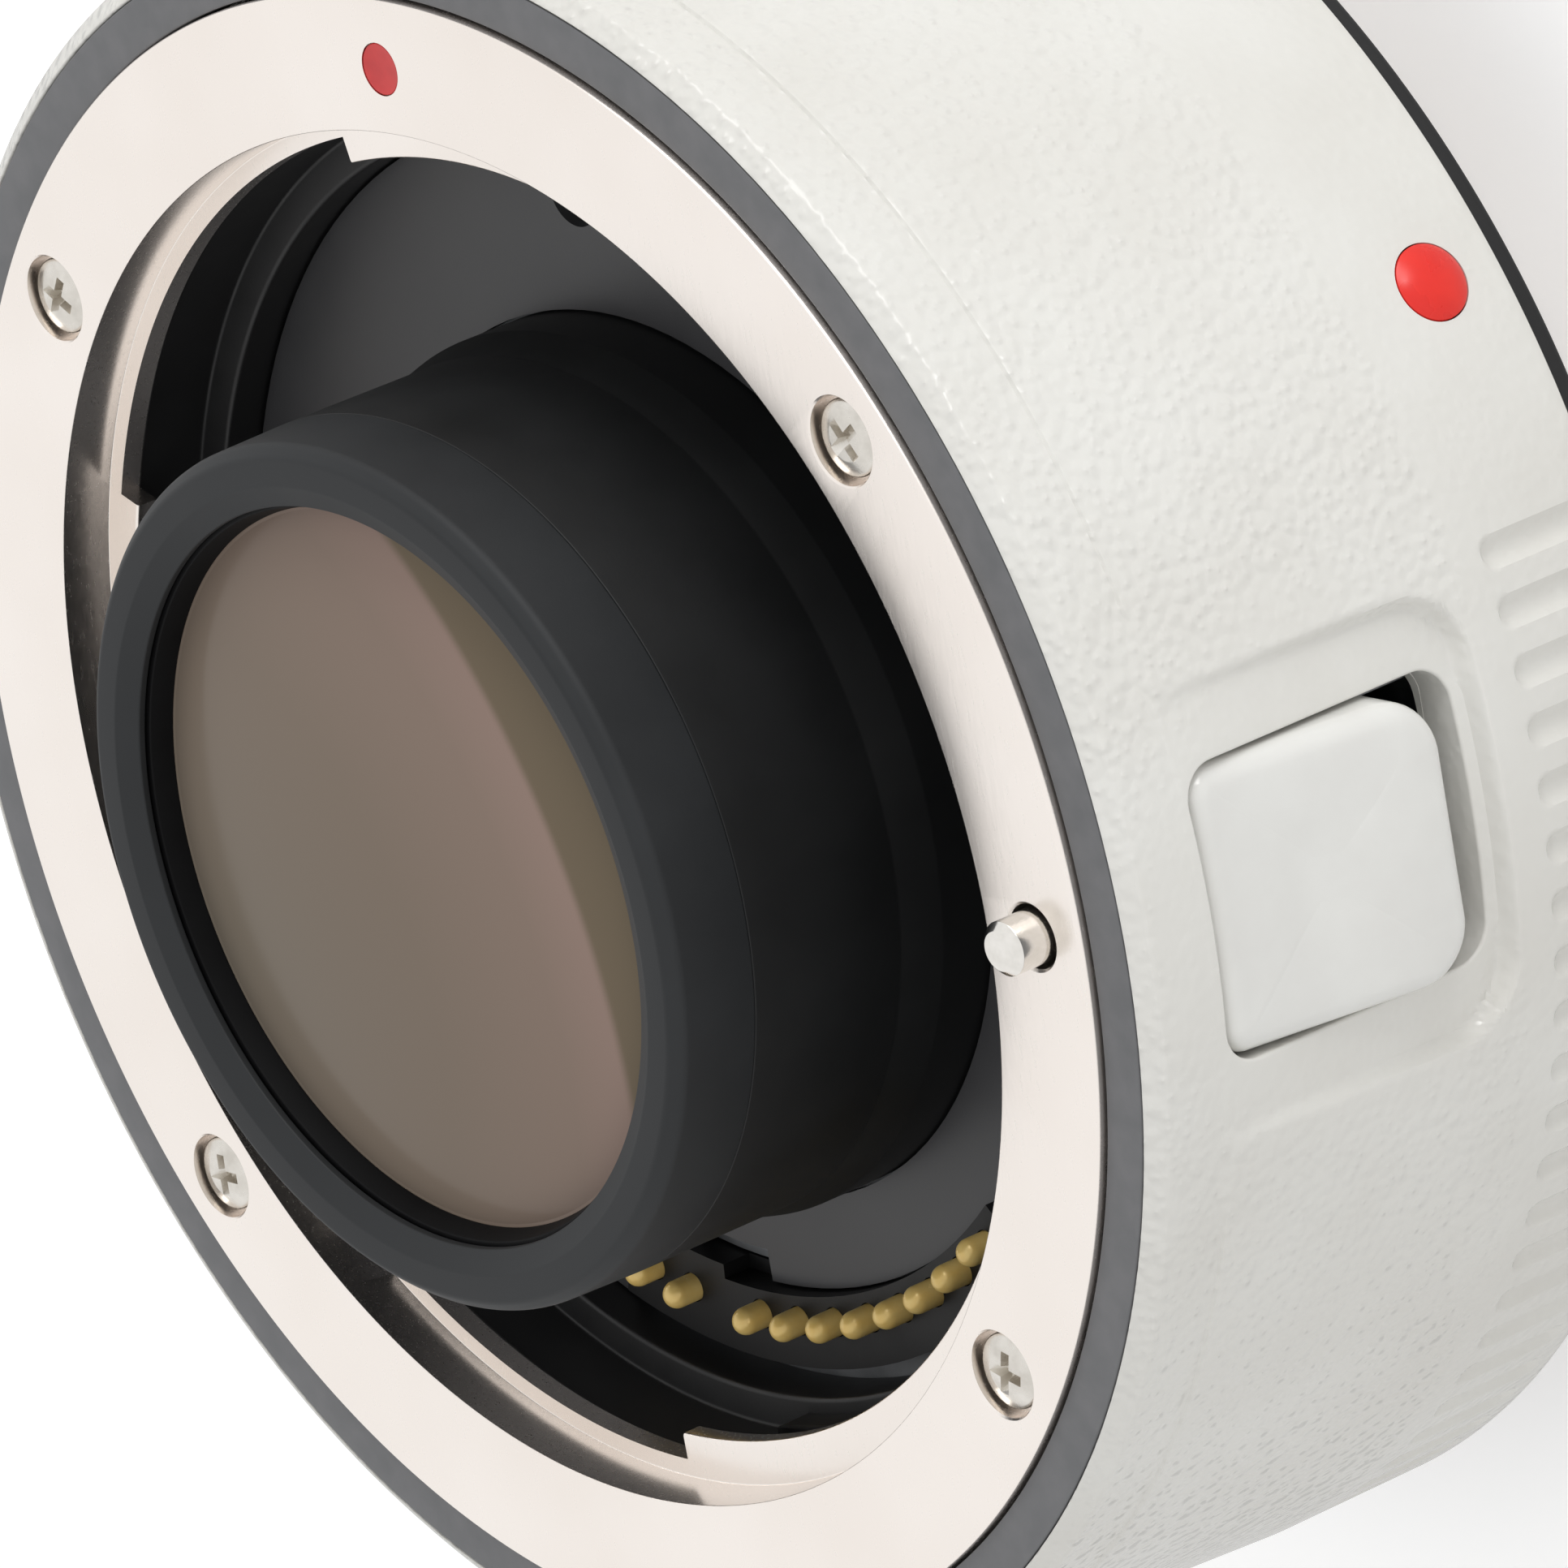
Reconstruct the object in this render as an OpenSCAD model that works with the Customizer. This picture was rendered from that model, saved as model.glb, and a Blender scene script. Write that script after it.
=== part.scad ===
// Camera teleconverter: a female lens bayonet in front, a male camera bayonet behind, a lens cell between.
// The origin is the centre of the camera-side flange face. +Z runs along the optical axis to the lens side,
// +Y points to the red index of the mount face and +X to the release lever. Millimetres.

/* [Overall] */
// Distance from the camera-side flange face to the lens-side mount face
flange_gap = 27.2; // [26.6:0.1:32]
// Height of the hood's lip above the lens-side mount face
hood_rise = 6.8; // [6:0.1:9]
// Reach of the rear light shield behind the camera-side flange
rear_reach = 6.6; // [6.4:0.1:8]

/* [Lens-side bayonet] */
// Clear diameter of the throat at the mount face
throat_d = 54; // [53:0.1:57]
// Radial width of the mount face
mount_face_w = 5.2; // [5:0.1:6]
// Thickness of the mount ring where it is screwed down
mount_t = 2.8; // [2.6:0.1:2.8]
// Depth of the claws and of the ledge between them below the mount face
claw_depth = 2.25; // [2:0.05:2.3]
// Thickness of the claws
claw_t = 0.9; // [0.7:0.1:1]
// Radial reach of the claws into the throat
claw_w = 1.75; // [1.5:0.05:1.8]
// Radial width of the ledge between the claws
ledge_w = 0.7; // [0.4:0.1:0.8]
// Depth of the lining's ledge below the mount face
lining_depth = 6.3; // [6:0.1:6.6]
// Distance of the mount screws and the lock pin from the throat's edge
screw_place = 2.5; // [2.3:0.1:2.8]
// Angle of the mount screws to each side of the lever's axis
mount_screw_deg = 37.5; // [30:0.5:45]
// Head diameter of the mount screws
screw_head_d = 3; // [2.6:0.1:3.2]
// Head height of the mount screws
screw_head_h = 0.8; // [0.6:0.1:1]
// Shank diameter of the mount screws
screw_shank_d = 1.9; // [1.4:0.1:2]
// Length of the mount screws below the head
screw_shank_l = 6; // [3:0.5:7]
// Diameter of the red index on the mount face
mount_dot_d = 2; // [1.4:0.1:2.6]
// Depth of the red index in the mount face
mount_dot_t = 0.3; // [0.2:0.05:0.6]

/* [Outer barrel] */
// Radial width of the grey trim ring
trim_w = 1.85; // [1.4:0.05:2.6]
// Thickness of the grey trim ring
trim_t = 1.5; // [1:0.1:2]
// Drop of the grey trim ring below the mount face
trim_drop = 0.35; // [0.2:0.05:0.7]
// Radial width of the painted rim round the trim ring
rim_w = 0.8; // [0.6:0.1:1.4]
// Height of the rim's bevel
rim_bevel = 0.55; // [0.2:0.05:1]
// Radial growth from the front land to the grip band
barrel_flare = 0.9; // [0.4:0.1:1.4]
// Length of the straight front land, from the mount face
front_land = 3.6; // [2.6:0.1:5]
// Step from the front land up to the cone
land_step = 0.15; // [0.05:0.05:0.3]
// Distance from the mount face to the end of the cone
cone_end = 17.9; // [16:0.1:20]
// Wall of the barrel at the grip band
barrel_wall = 2.9; // [2.4:0.1:3.2]
// Height of the barrel's rear edge above the camera-side flange
barrel_rear_gap = 2; // [1.9:0.1:3]
// Grip grooves in a full turn
groove_pitch_count = 100; // [60:4:120]
// Width of a grip groove
groove_w = 1.3; // [0.8:0.1:1.6]
// Depth of a grip groove
groove_depth = 0.35; // [0.2:0.05:0.5]
// Distance from the mount face to the front of the grooves
groove_front = 19; // [18:0.1:22]
// Land left behind the grooves
groove_land = 0.9; // [0.5:0.1:2]
// Angle of the first groove, from the lever's axis towards the index
groove_first_deg = 14.25; // [8:0.25:24]
// Sector left without grooves, for the index and a nameplate
groove_free_deg = 105; // [60:5:180]
// Diameter of the domed red index on the barrel
dome_d = 3; // [2:0.1:4]
// Height of the domed red index over the grip band
dome_rise = 0.45; // [0.2:0.05:0.8]
// Depth of the domed index in the wall
dome_seat = 1.2; // [0.8:0.1:1.6]
// Angle of the domed index from the lever's axis
dome_deg = 30; // [26:1:60]
// Distance of the domed index from the mount face
dome_place = 21.9; // [20:0.1:23]

/* [Release lever] */
// Width of the lever, across the barrel
lever_w = 10.9; // [9.6:0.1:12]
// Length of the lever, along the barrel
lever_l = 10.6; // [9:0.1:11]
// Distance of the lever's front edge from the mount face
lever_front = 4.1; // [4:0.1:4.6]
// Travel of the lever towards the camera
lever_travel = 1.7; // [1.2:0.1:2]
// Gap round the lever in its slot
lever_gap = 0.2; // [0.2:0.05:0.4]
// Corner radius of the lever's front
lever_corner = 1.1; // [0.6:0.1:2]
// Corner radius of the lever's rear, at the thumb ledge
lever_corner_rear = 2.2; // [1.4:0.1:3]
// Rise of the thumb ledge over the recess floor
lever_ledge = 1.45; // [0.6:0.05:1.6]
// Width of the recess round the lever
recess_w = 16.7; // [15:0.1:19]
// Distance from the mount face to the rear of the recess
recess_rear = 17.2; // [17:0.1:18]
// Lift of the recess floor over the front land
recess_lift = 0.05; // [0.02:0.01:0.2]
// Diameter of the lock pin
lock_pin_d = 2.1; // [1.8:0.1:2.2]
// Height of the lock pin over the mount face
lock_pin_rise = 1.6; // [1.2:0.1:1.7]
// Chamfer at the tip of the lock pin
lock_pin_chamfer = 0.3; // [0.1:0.05:0.5]
// Width of the plate inside the barrel that carries the lock pin
slider_w = 9; // [8:0.1:9.4]
// Thickness of the plate that carries the lock pin
slider_t = 1.9; // [1.6:0.1:2.1]
// Height of the plate that carries the lock pin
slider_h = 6.6; // [6:0.1:7]
// Wire of the return spring
spring_wire = 0.36; // [0.3:0.02:0.42]
// Outside diameter of the return spring
spring_d = 2.3; // [2:0.1:2.6]
// Length of the return spring at rest
spring_l = 5.8; // [5.4:0.1:6.2]
// Curls of the return spring
spring_turns = 6; // [4:1:6]

/* [Contacts] */
// Distance of the contact pins from the throat's edge, inwards
pin_place = 4.7; // [4.4:0.1:5]
// Diameter of a contact pin
pin_d = 1.1; // [0.8:0.05:1.2]
// Height of a pin's tip over its block
pin_rise = 1.35; // [1:0.05:1.5]
// Travel of a contact pin
pin_travel = 0.8; // [0.5:0.05:0.8]
// Angle between neighbouring pins
pin_pitch_deg = 5.77; // [5.4:0.01:6]
// Angle of the first pin from the lever's axis
pin_first_deg = -49.8; // [-54:0.1:-46]
// Angle between the main group of pins and the side group
pin_gap_deg = 10.5; // [9:0.1:12]
// Pins in the main group
main_pins = 8; // [4:1:8]
// Pins in the side group
side_pins = 2; // [1:1:3]
// Height of the contact block over the cover plate
block_rise = 0.7; // [0.4:0.05:1]
// Depth of the cover plate below the mount face
plate_depth = 8; // [7.6:0.1:8.6]
// Thickness of the cover plate
plate_t = 0.6; // [0.4:0.1:0.8]

/* [Lens cell] */
// Radial room between the throat and the hood's tube
throat_room = 9.95; // [9.6:0.05:10.6]
// Radial step from the front group of glass to the middle one
mid_step = 1.3; // [0.9:0.1:1.8]
// Radial step from the middle group of glass to the rear one
rear_step = 0.9; // [0.4:0.1:1.4]
// Wall of the cell round the front glass
cell_wall = 0.95; // [0.8:0.05:1.2]
// Wall of the moulded hood
hood_wall = 1.25; // [1:0.05:1.5]
// Height of the hood's seam over the mount face
hood_seam = 3.05; // [2.4:0.05:3.6]
// Radial growth of the cell's tube towards its base
skirt_w = 0.45; // [0.2:0.05:0.8]
// Depth below the mount face where the tube starts to widen
skirt_top = 4; // [3:0.1:4.6]
// Depth below the mount face where the tube is at its widest
skirt_full = 5.7; // [5:0.1:6.6]
// Sink of the front glass's edge below the lip
glass_sink = 1.8; // [1.6:0.1:2.4]
// Bulge radius of the front glass, as a multiple of its own radius
front_bulge_share = 5.1; // [3.5:0.1:8]

/* [Frame and board] */
// Thickness of the web that carries the cover plate
web_t = 1.8; // [1.4:0.1:2.2]
// Wall of the hub round the lens cell
hub_wall = 1.7; // [1.2:0.1:2]
// Thickness of the rear frame
rear_frame_t = 2.5; // [2:0.1:3]
// Space between the web and the circuit board
board_gap = 1.8; // [1.4:0.1:2.4]
// Thickness of the circuit board
board_t = 0.8; // [0.6:0.1:1.2]

/* [Camera-side bayonet] */
// Thickness of the camera-side flange
rear_flange_t = 1.7; // [1.7:0.1:1.8]
// Radial width of the camera-side flange outside the male bayonet
rear_flange_w = 7.65; // [7.35:0.05:7.75]
// Length of the male bayonet behind the flange
male_l = 5.4; // [5:0.1:5.6]
// Wall of the male bayonet
male_wall = 1.8; // [1.5:0.1:2]
// Thickness of the male lugs
lug_t = 1.4; // [1:0.1:1.5]
// Diameter of the hole for the camera's lock pin
lock_hole_d = 2.8; // [2.5:0.1:3.2]
// Radial width of the black gasket's lower face
gasket_w = 2.4; // [2.2:0.05:2.8]

/* [Hidden] */
$fn = 96;
fit = 0.05;
loose = 0.1;
eps = 0.01;

// Levels along the axis
face_z = flange_gap;
top_z = face_z + hood_rise;
claw_top_z = face_z - claw_depth;
claw_low_z = claw_top_z - claw_t;
mount_low_z = face_z - mount_t;
trim_top_z = face_z - trim_drop;
trim_low_z = trim_top_z - trim_t;
plate_top_z = face_z - plate_depth;
web_top_z = plate_top_z - plate_t;
web_low_z = web_top_z - web_t;
board_top_z = web_low_z - board_gap;
board_low_z = board_top_z - board_t;
block_top_z = plate_top_z + block_rise;
core_low_z = rear_flange_t + rear_frame_t;
lip_t = 1.5;
lip_low_z = mount_low_z - lip_t;

// Radii of the mount and the barrel, from the throat outwards
throat_r = throat_d / 2;
claw_r = throat_r - claw_w;
ledge_r = throat_r - ledge_w;
mount_r = throat_r + mount_face_w;
trim_gap = 0.1;
trim_in_r = mount_r + trim_gap;
trim_out_r = trim_in_r + trim_w;
trim_seat_r = trim_out_r + fit;
front_r = trim_seat_r + rim_w;
barrel_r = front_r + barrel_flare;
bore_r = barrel_r - barrel_wall;
core_r = bore_r - loose;
screw_r = throat_r + screw_place;
boss_half_w = 1.9;
boss_out_r = screw_r + boss_half_w;
boss_in_r = screw_r - boss_half_w;
wall_inset = 1.1;
core_wall_in_r = screw_r - wall_inset;
lining_out_r = boss_in_r - loose;
lining_inset = 0.6;
lining_in_r = throat_r - lining_inset;
lining_ledge_w = 2;
lining_ledge_r = throat_r - lining_ledge_w;
lining_ledge_z = face_z - lining_depth;
lug_room = 1.5;
spring_leaf_t = 0.3;
spring_leaf_w = 0.8;
spring_leaf_z = claw_low_z - lug_room - spring_leaf_t;
spring_inset_deg = 6;

// Claws, notch and lugs, in degrees from the lever's axis towards the index
claw_spans = [[38, 103.5], [159.5, 225.5], [271, 334]];
notch_span = [claw_spans[1][1], claw_spans[1][1] + 7.5];
claw_gaps = [
    [claw_spans[0][1], claw_spans[1][0]],
    [notch_span[1] - 1, claw_spans[2][0]],
    [claw_spans[2][1], claw_spans[0][0] + 360]];
lug_spans = [[43, 95], [168, 212], [277, 331]];
mount_screw_angles = [mount_screw_deg, -mount_screw_deg, 180 - mount_screw_deg, 180 + mount_screw_deg];
rear_screw_angles = [45, 135, 225, 315];

// Screws
cap_gap = 0.2;
screw_sink = 0.15;
screw_hole_d = screw_shank_d + 2 * fit;
small_head_d = 2.4;
small_head_h = 0.8;
small_shank_d = 1.3;
small_hole_d = small_shank_d + 2 * fit;
thread_spare = 0.5;

// Release lever and its slider
lever_front_z = face_z - lever_front;
lever_rear_z = lever_front_z - lever_l;
slot_w = lever_w + 2 * lever_gap;
slot_front_z = lever_front_z + lever_gap;
slot_rear_z = lever_rear_z - lever_travel - lever_gap;
recess_floor_r = front_r + recess_lift;
slot_corner_trim = 0.6;
slot_corner = lever_corner_rear - slot_corner_trim;
recess_corner = 2.6;
ledge_top_r = recess_floor_r + lever_ledge;
lever_root = 0.3;
lever_back_x = bore_r + lever_root;
slider_half = 1;
slider_in_x = screw_r - slider_half;
slider_out_x = slider_in_x + slider_t;
slider_drop = 2.3;
slider_top_z = lip_low_z - slider_drop;
slider_low_z = slider_top_z - slider_h;
neck_inset = 0.2;
neck_w = slider_w - neck_inset;
pocket_gap = 0.3;
pocket_w = slider_w + 2 * pocket_gap;
pocket_in_x = slider_in_x - pocket_gap;
pocket_roof = 1.4;
pocket_top_z = mount_low_z - pocket_roof;
pocket_low_z = slider_low_z - spring_l;
lock_stub_d = 1.2;
lock_stub_l = 1.5;
lever_screw_y = 2.6;
lever_screw_z = (slider_top_z + slider_low_z) / 2;
lever_screw_head_h = 0.9;
lever_screw_l = 2.4;
spring_post_d = 1;
spring_post_l = 1.2;
spring_stub_l = 0.8;

// Contacts
pin_r = throat_r - pin_place;
pin_count = main_pins + side_pins;
function pin_deg(i) =
    i <= main_pins
        ? pin_first_deg - (i - 1) * pin_pitch_deg
        : pin_first_deg - (i - 2) * pin_pitch_deg - pin_gap_deg;
block_margin_deg = 3.6;
block_high_deg = pin_first_deg + block_margin_deg;
block_split_deg = (pin_deg(main_pins) + pin_deg(main_pins + 1)) / 2;
block_low_deg = pin_deg(pin_count) - block_margin_deg;
block_in_w = 1.6;
block_face_w = 1;
block_out_w = 1.9;
block_in_r = pin_r - block_in_w;
block_face_in_r = pin_r - block_face_w;
block_out_r = pin_r + block_out_w;
block_gap_deg = 0.3;
flange_w = 0.25;
flange_d = pin_d + 2 * flange_w;
flange_t = 0.4;
block_cap_t = 1.3;
flange_top_z = block_top_z - block_cap_t;
spring_sleeve_wall = 0.2;
pad_d = 1.5;
pad_t = 0.35;
pad_proud = 0.05;

// Lens cell and glass
hood_r = throat_r - throat_room;
hood_in_r = hood_r - hood_wall;
neck_r = hood_in_r - loose;
front_glass_r = neck_r - cell_wall - fit;
mid_glass_r = front_glass_r - mid_step;
rear_glass_r = mid_glass_r - rear_step;
skirt_r = hood_r + skirt_w;
cell_step = 0.5;
cell_r = neck_r + cell_step;
hub_bore_r = cell_r + loose;
hub_r = hub_bore_r + hub_wall;
seam_z = face_z + hood_seam;
lip_t_hood = 0.75;
lip_round = 0.6;
hood_taper = 0.1;
cement = 0.03;
front_bulge_r = front_bulge_share * front_glass_r;
cement_r = [2.72 * front_glass_r, 2.09 * mid_glass_r, 2.09 * mid_glass_r, 2.4 * rear_glass_r];
rear_face_r = [4.08 * front_glass_r, 2.8 * rear_glass_r, 4.8 * rear_glass_r];
mid_front_r = 3.36 * mid_glass_r;
thin_centre = 1.1;
rim_flat = 0.7;
front_edge = 1.6;
mid_front_edge = 2;
mid_rear_edge = 2.6;
rear_edge = 1.3;
rear_seat_z = 8;
seat_t = 1;
seat_w = 1;
function sag(bulge_r, half) = bulge_r - sqrt(bulge_r * bulge_r - half * half);
glass_z1 = top_z - glass_sink;
glass_z2 = glass_z1 - front_edge;
glass_z3 = glass_z2 - sag(cement_r[0], front_glass_r) - thin_centre - sag(rear_face_r[0], front_glass_r);
mid_z4 = rear_seat_z + seat_t;
mid_z3 = mid_z4 + mid_rear_edge;
mid_z2 = mid_z3 + sag(cement_r[2], mid_glass_r) + thin_centre + sag(cement_r[1], mid_glass_r);
mid_z1 = mid_z2 + mid_front_edge;
rear_z2 = rear_seat_z - sag(rear_face_r[1], rear_glass_r) - thin_centre - sag(cement_r[3], rear_glass_r);
rear_z3 = rear_z2 - rear_edge;
ring_t = 1.4;
cell_rim = 0.2;
cell_low_z = rear_z3 - ring_t - cell_rim;
front_ring_t = 0.95;
ring_w = 0.6;
rear_ring_w = 1.2;
lock_ring_w = 2.8;
lock_ring_t = 1.5;

// Frame, board and ribbon
board_in_gap = 0.2;
board_out_gap = 1.2;
board_in_r = hub_r + board_in_gap;
board_out_r = core_wall_in_r - board_out_gap;
standoff_d = 3.2;
standoff_place = 1.1;
standoff_r = board_out_r - standoff_place;
board_screw_angles = [20, 140, 215];
board_screw_l = 3;
cover_screw_angles = [12, 170, 205];
cover_screw_r = pin_r;
cover_screw_d = 1.8;
cover_screw_h = 0.35;
cover_screw_l = 1.6;
access_hole_d = 2.8;
access_hole_deg = 91;
ribbon_t = 0.2;
ribbon_half_deg = 11;
ribbon_deg = (block_high_deg + block_low_deg) / 2;
ribbon_room = 0.3;

// Rear side
bayonet_gap = 0.4;
male_r = claw_r - bayonet_gap;
male_in_r = male_r - male_wall;
lug_r = ledge_r - bayonet_gap;
lug_top_z = -(claw_depth + claw_t + loose);
seat_ledge_w = 0.7;
seat_ledge_z = -1.2;
rear_low_z = -rear_reach;
shield_out_r = male_in_r - loose;
shield_wall = 2.2;
shield_in_r = shield_out_r - shield_wall;
shield_rim_step = 0.3;
shield_rim_r = male_r - shield_rim_step;
shield_plate_t = 1;
shield_plate_z = -3.4;
shield_hole_r = rear_glass_r + loose;
rear_block_low_z = rear_low_z + loose;
rear_flange_r = male_r + rear_flange_w;
gasket_in_r = rear_flange_r + loose;
gasket_out_r = gasket_in_r + gasket_w;
gasket_drop = 1.4;

PIN_NODES = [for (i = [1:pin_count]) str("contact_pin_", i)];
GLASS_NODES = [for (i = [1:7]) str("lens_element_", i)];

// Shapes that repeat

module ring(r_in, r_out, z_low, z_high) {
    rotate_extrude()
        translate([r_in, z_low])
            square([r_out - r_in, z_high - z_low]);
}

module ring_sector(r_in, r_out, z_low, z_high, deg_low, deg_high) {
    rotate([0, 0, deg_low])
        rotate_extrude(angle = deg_high - deg_low)
            translate([r_in, z_low])
                square([r_out - r_in, z_high - z_low]);
}

module polar(r, deg, z = 0) {
    rotate([0, 0, deg])
        translate([r, 0, z])
            children();
}

// Extrudes a shape drawn in Y and Z along X
module along_x(x_low, x_high) {
    translate([x_low, 0, 0])
        rotate([90, 0, 90])
            linear_extrude(x_high - x_low)
                children();
}

function arc(x, y, r, deg_from, deg_to, steps = 6) =
    [for (i = [0:steps])
        let (deg = deg_from + (deg_to - deg_from) * i / steps)
        [x + r * cos(deg), y + r * sin(deg)]];

module rounded_rect(w, z_low, z_high, r_high, r_low) {
    polygon(concat(
        arc(w / 2 - r_high, z_high - r_high, r_high, 0, 90),
        arc(-w / 2 + r_high, z_high - r_high, r_high, 90, 180),
        arc(-w / 2 + r_low, z_low + r_low, r_low, 180, 270),
        arc(w / 2 - r_low, z_low + r_low, r_low, 270, 360)));
}

// A screw with its head's top at the origin and its shank along -Z
module cross_screw(head_d, head_h, shank_d, shank_l) {
    cross_l = head_d * 0.58;
    cross_w = head_d * 0.15;
    cross_depth = head_h * 0.55;
    difference() {
        union() {
            translate([0, 0, -head_h])
                cylinder(d = head_d, h = head_h);
            translate([0, 0, -head_h - shank_l])
                cylinder(d = shank_d, h = shank_l + eps);
        }
        for (deg = [0, 90])
            rotate([0, 0, deg])
                cube([cross_l, cross_w, 2 * cross_depth], center = true);
    }
}

// Outer shell

module grip_grooves() {
    groove_r = (groove_w * groove_w / 4 + groove_depth * groove_depth) / (2 * groove_depth);
    pitch = 360 / groove_pitch_count;
    last = floor((360 - groove_free_deg) / pitch);
    low_z = barrel_rear_gap + groove_land;
    for (i = [0:last])
        polar(barrel_r + groove_r - groove_depth, groove_first_deg - i * pitch, low_z)
            cylinder(r = groove_r, h = face_z - groove_front - low_z, $fn = 24);
}

module outer_barrel() {
    rim_flat_w = 0.15;
    color("gainsboro")
    difference() {
        rotate_extrude()
            polygon([
                [bore_r, barrel_rear_gap], [barrel_r, barrel_rear_gap], [barrel_r, face_z - cone_end],
                [front_r + land_step, face_z - front_land - land_step], [front_r, face_z - front_land],
                [front_r, trim_top_z - rim_bevel],
                [trim_seat_r + rim_flat_w, trim_top_z], [trim_seat_r, trim_top_z],
                [trim_seat_r, trim_low_z], [trim_in_r + fit, trim_low_z], [trim_in_r + fit, mount_low_z],
                [boss_out_r + loose, mount_low_z], [boss_out_r + loose, lip_low_z], [bore_r, lip_low_z]]);
        along_x(boss_out_r - 1, ledge_top_r + 1)
            rounded_rect(slot_w, slot_rear_z, slot_front_z, lever_corner + lever_gap, slot_corner);
        intersection() {
            ring(recess_floor_r, barrel_r + 1, barrel_rear_gap, face_z);
            along_x(boss_out_r, ledge_top_r + 1)
                rounded_rect(recess_w, face_z - recess_rear, face_z + recess_corner,
                    recess_corner, recess_corner);
        }
        polar(barrel_r - dome_seat, dome_deg, face_z - dome_place)
            rotate([0, 90, 0])
                cylinder(d = dome_d + 2 * fit, h = dome_seat + 1);
        grip_grooves();
    }
}

module barrel_index_dot() {
    bulge_r = (dome_d * dome_d / 4 + dome_rise * dome_rise) / (2 * dome_rise);
    color("red")
    polar(barrel_r - dome_seat, dome_deg, face_z - dome_place)
        rotate([0, 90, 0])
            intersection() {
                cylinder(d = dome_d, h = dome_seat + dome_rise + 1);
                translate([0, 0, dome_seat + dome_rise - bulge_r])
                    sphere(r = bulge_r);
            }
}

module front_trim_ring() {
    color("dimgray")
    ring(trim_in_r, trim_out_r, trim_low_z, trim_top_z);
}

// Lens-side bayonet

module lens_mount_ring() {
    edge = 0.15;
    relief = 0.15;
    color("linen")
    difference() {
        rotate_extrude()
            polygon([
                [claw_r, claw_low_z], [throat_r, claw_low_z], [throat_r, mount_low_z],
                [mount_r, mount_low_z], [mount_r, face_z - edge], [mount_r - edge, face_z],
                [throat_r, face_z], [throat_r, claw_top_z], [claw_r, claw_top_z]]);
        for (span = claw_gaps)
            ring_sector(claw_r - 1, ledge_r, claw_low_z - 1, claw_top_z + relief, span[0], span[1]);
        ring_sector(claw_r - 1, throat_r + relief, claw_low_z - 1, claw_top_z + relief,
            notch_span[0], notch_span[1]);
        for (deg = mount_screw_angles)
            polar(screw_r, deg) {
                translate([0, 0, face_z - screw_sink - screw_head_h])
                    cylinder(d = screw_head_d + 2 * cap_gap, h = screw_head_h + 1);
                translate([0, 0, mount_low_z - 1])
                    cylinder(d = screw_hole_d, h = mount_t + 2);
            }
        polar(screw_r, 0, mount_low_z - 1)
            cylinder(d = lock_pin_d + 2 * cap_gap, h = mount_t + 2);
        polar(screw_r, 90, face_z - mount_dot_t)
            cylinder(d = mount_dot_d + 2 * fit, h = 1);
    }
}

module lens_mount_screws() {
    color("silver")
    for (deg = mount_screw_angles)
        polar(screw_r, deg, face_z - screw_sink)
            cross_screw(screw_head_d, screw_head_h, screw_shank_d, screw_shank_l);
}

module mount_index_dot() {
    color("red")
    polar(screw_r, 90, face_z - mount_dot_t)
        cylinder(d = mount_dot_d, h = mount_dot_t);
}

// The wall below the mount ring, with a pad under each claw that carries a leaf spring
module throat_lining() {
    lining_top_z = claw_low_z - loose;
    color("black") {
        rotate_extrude()
            polygon([
                [lining_ledge_r, web_top_z], [lining_out_r, web_top_z], [lining_out_r, lining_top_z],
                [lining_in_r, lining_top_z], [lining_in_r, lining_ledge_z],
                [lining_ledge_r, lining_ledge_z]]);
        for (span = claw_spans)
            ring_sector(lining_in_r - spring_leaf_w, lining_in_r + fit, lining_ledge_z - fit, spring_leaf_z,
                span[0] + spring_inset_deg, span[1] - spring_inset_deg);
    }
}

module bayonet_springs() {
    color("silver")
    for (span = claw_spans)
        ring_sector(lining_in_r - spring_leaf_w, lining_in_r - fit, spring_leaf_z,
            spring_leaf_z + spring_leaf_t, span[0] + spring_inset_deg, span[1] - spring_inset_deg);
}

module front_cover_plate() {
    slit_deg = 5.5;
    slit_w = 0.8;
    color("darkslategray")
    difference() {
        ring(skirt_r + loose, lining_ledge_r - loose, web_top_z, plate_top_z);
        ring_sector(block_in_r - loose, lining_ledge_r + 1, web_top_z - 1, plate_top_z + 1,
            block_low_deg - block_gap_deg, block_split_deg + block_gap_deg);
        ring_sector(block_face_in_r - loose, lining_ledge_r + 1, web_top_z - 1, plate_top_z + 1,
            block_split_deg, block_high_deg + block_gap_deg);
        ring_sector(block_in_r - slit_w, block_face_in_r, web_top_z - 1, plate_top_z + 1,
            block_split_deg - slit_deg, block_split_deg + slit_deg);
        for (deg = cover_screw_angles)
            polar(cover_screw_r, deg, web_top_z - 1)
                cylinder(d = small_hole_d, h = plate_t + 2);
        polar(cover_screw_r, access_hole_deg, web_top_z - 1)
            cylinder(d = access_hole_d, h = plate_t + 2);
    }
}

module cover_screws() {
    color("dimgray")
    for (deg = cover_screw_angles)
        polar(cover_screw_r, deg, plate_top_z + cover_screw_h)
            cross_screw(cover_screw_d, cover_screw_h, small_shank_d, cover_screw_l);
}

// Contacts

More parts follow.
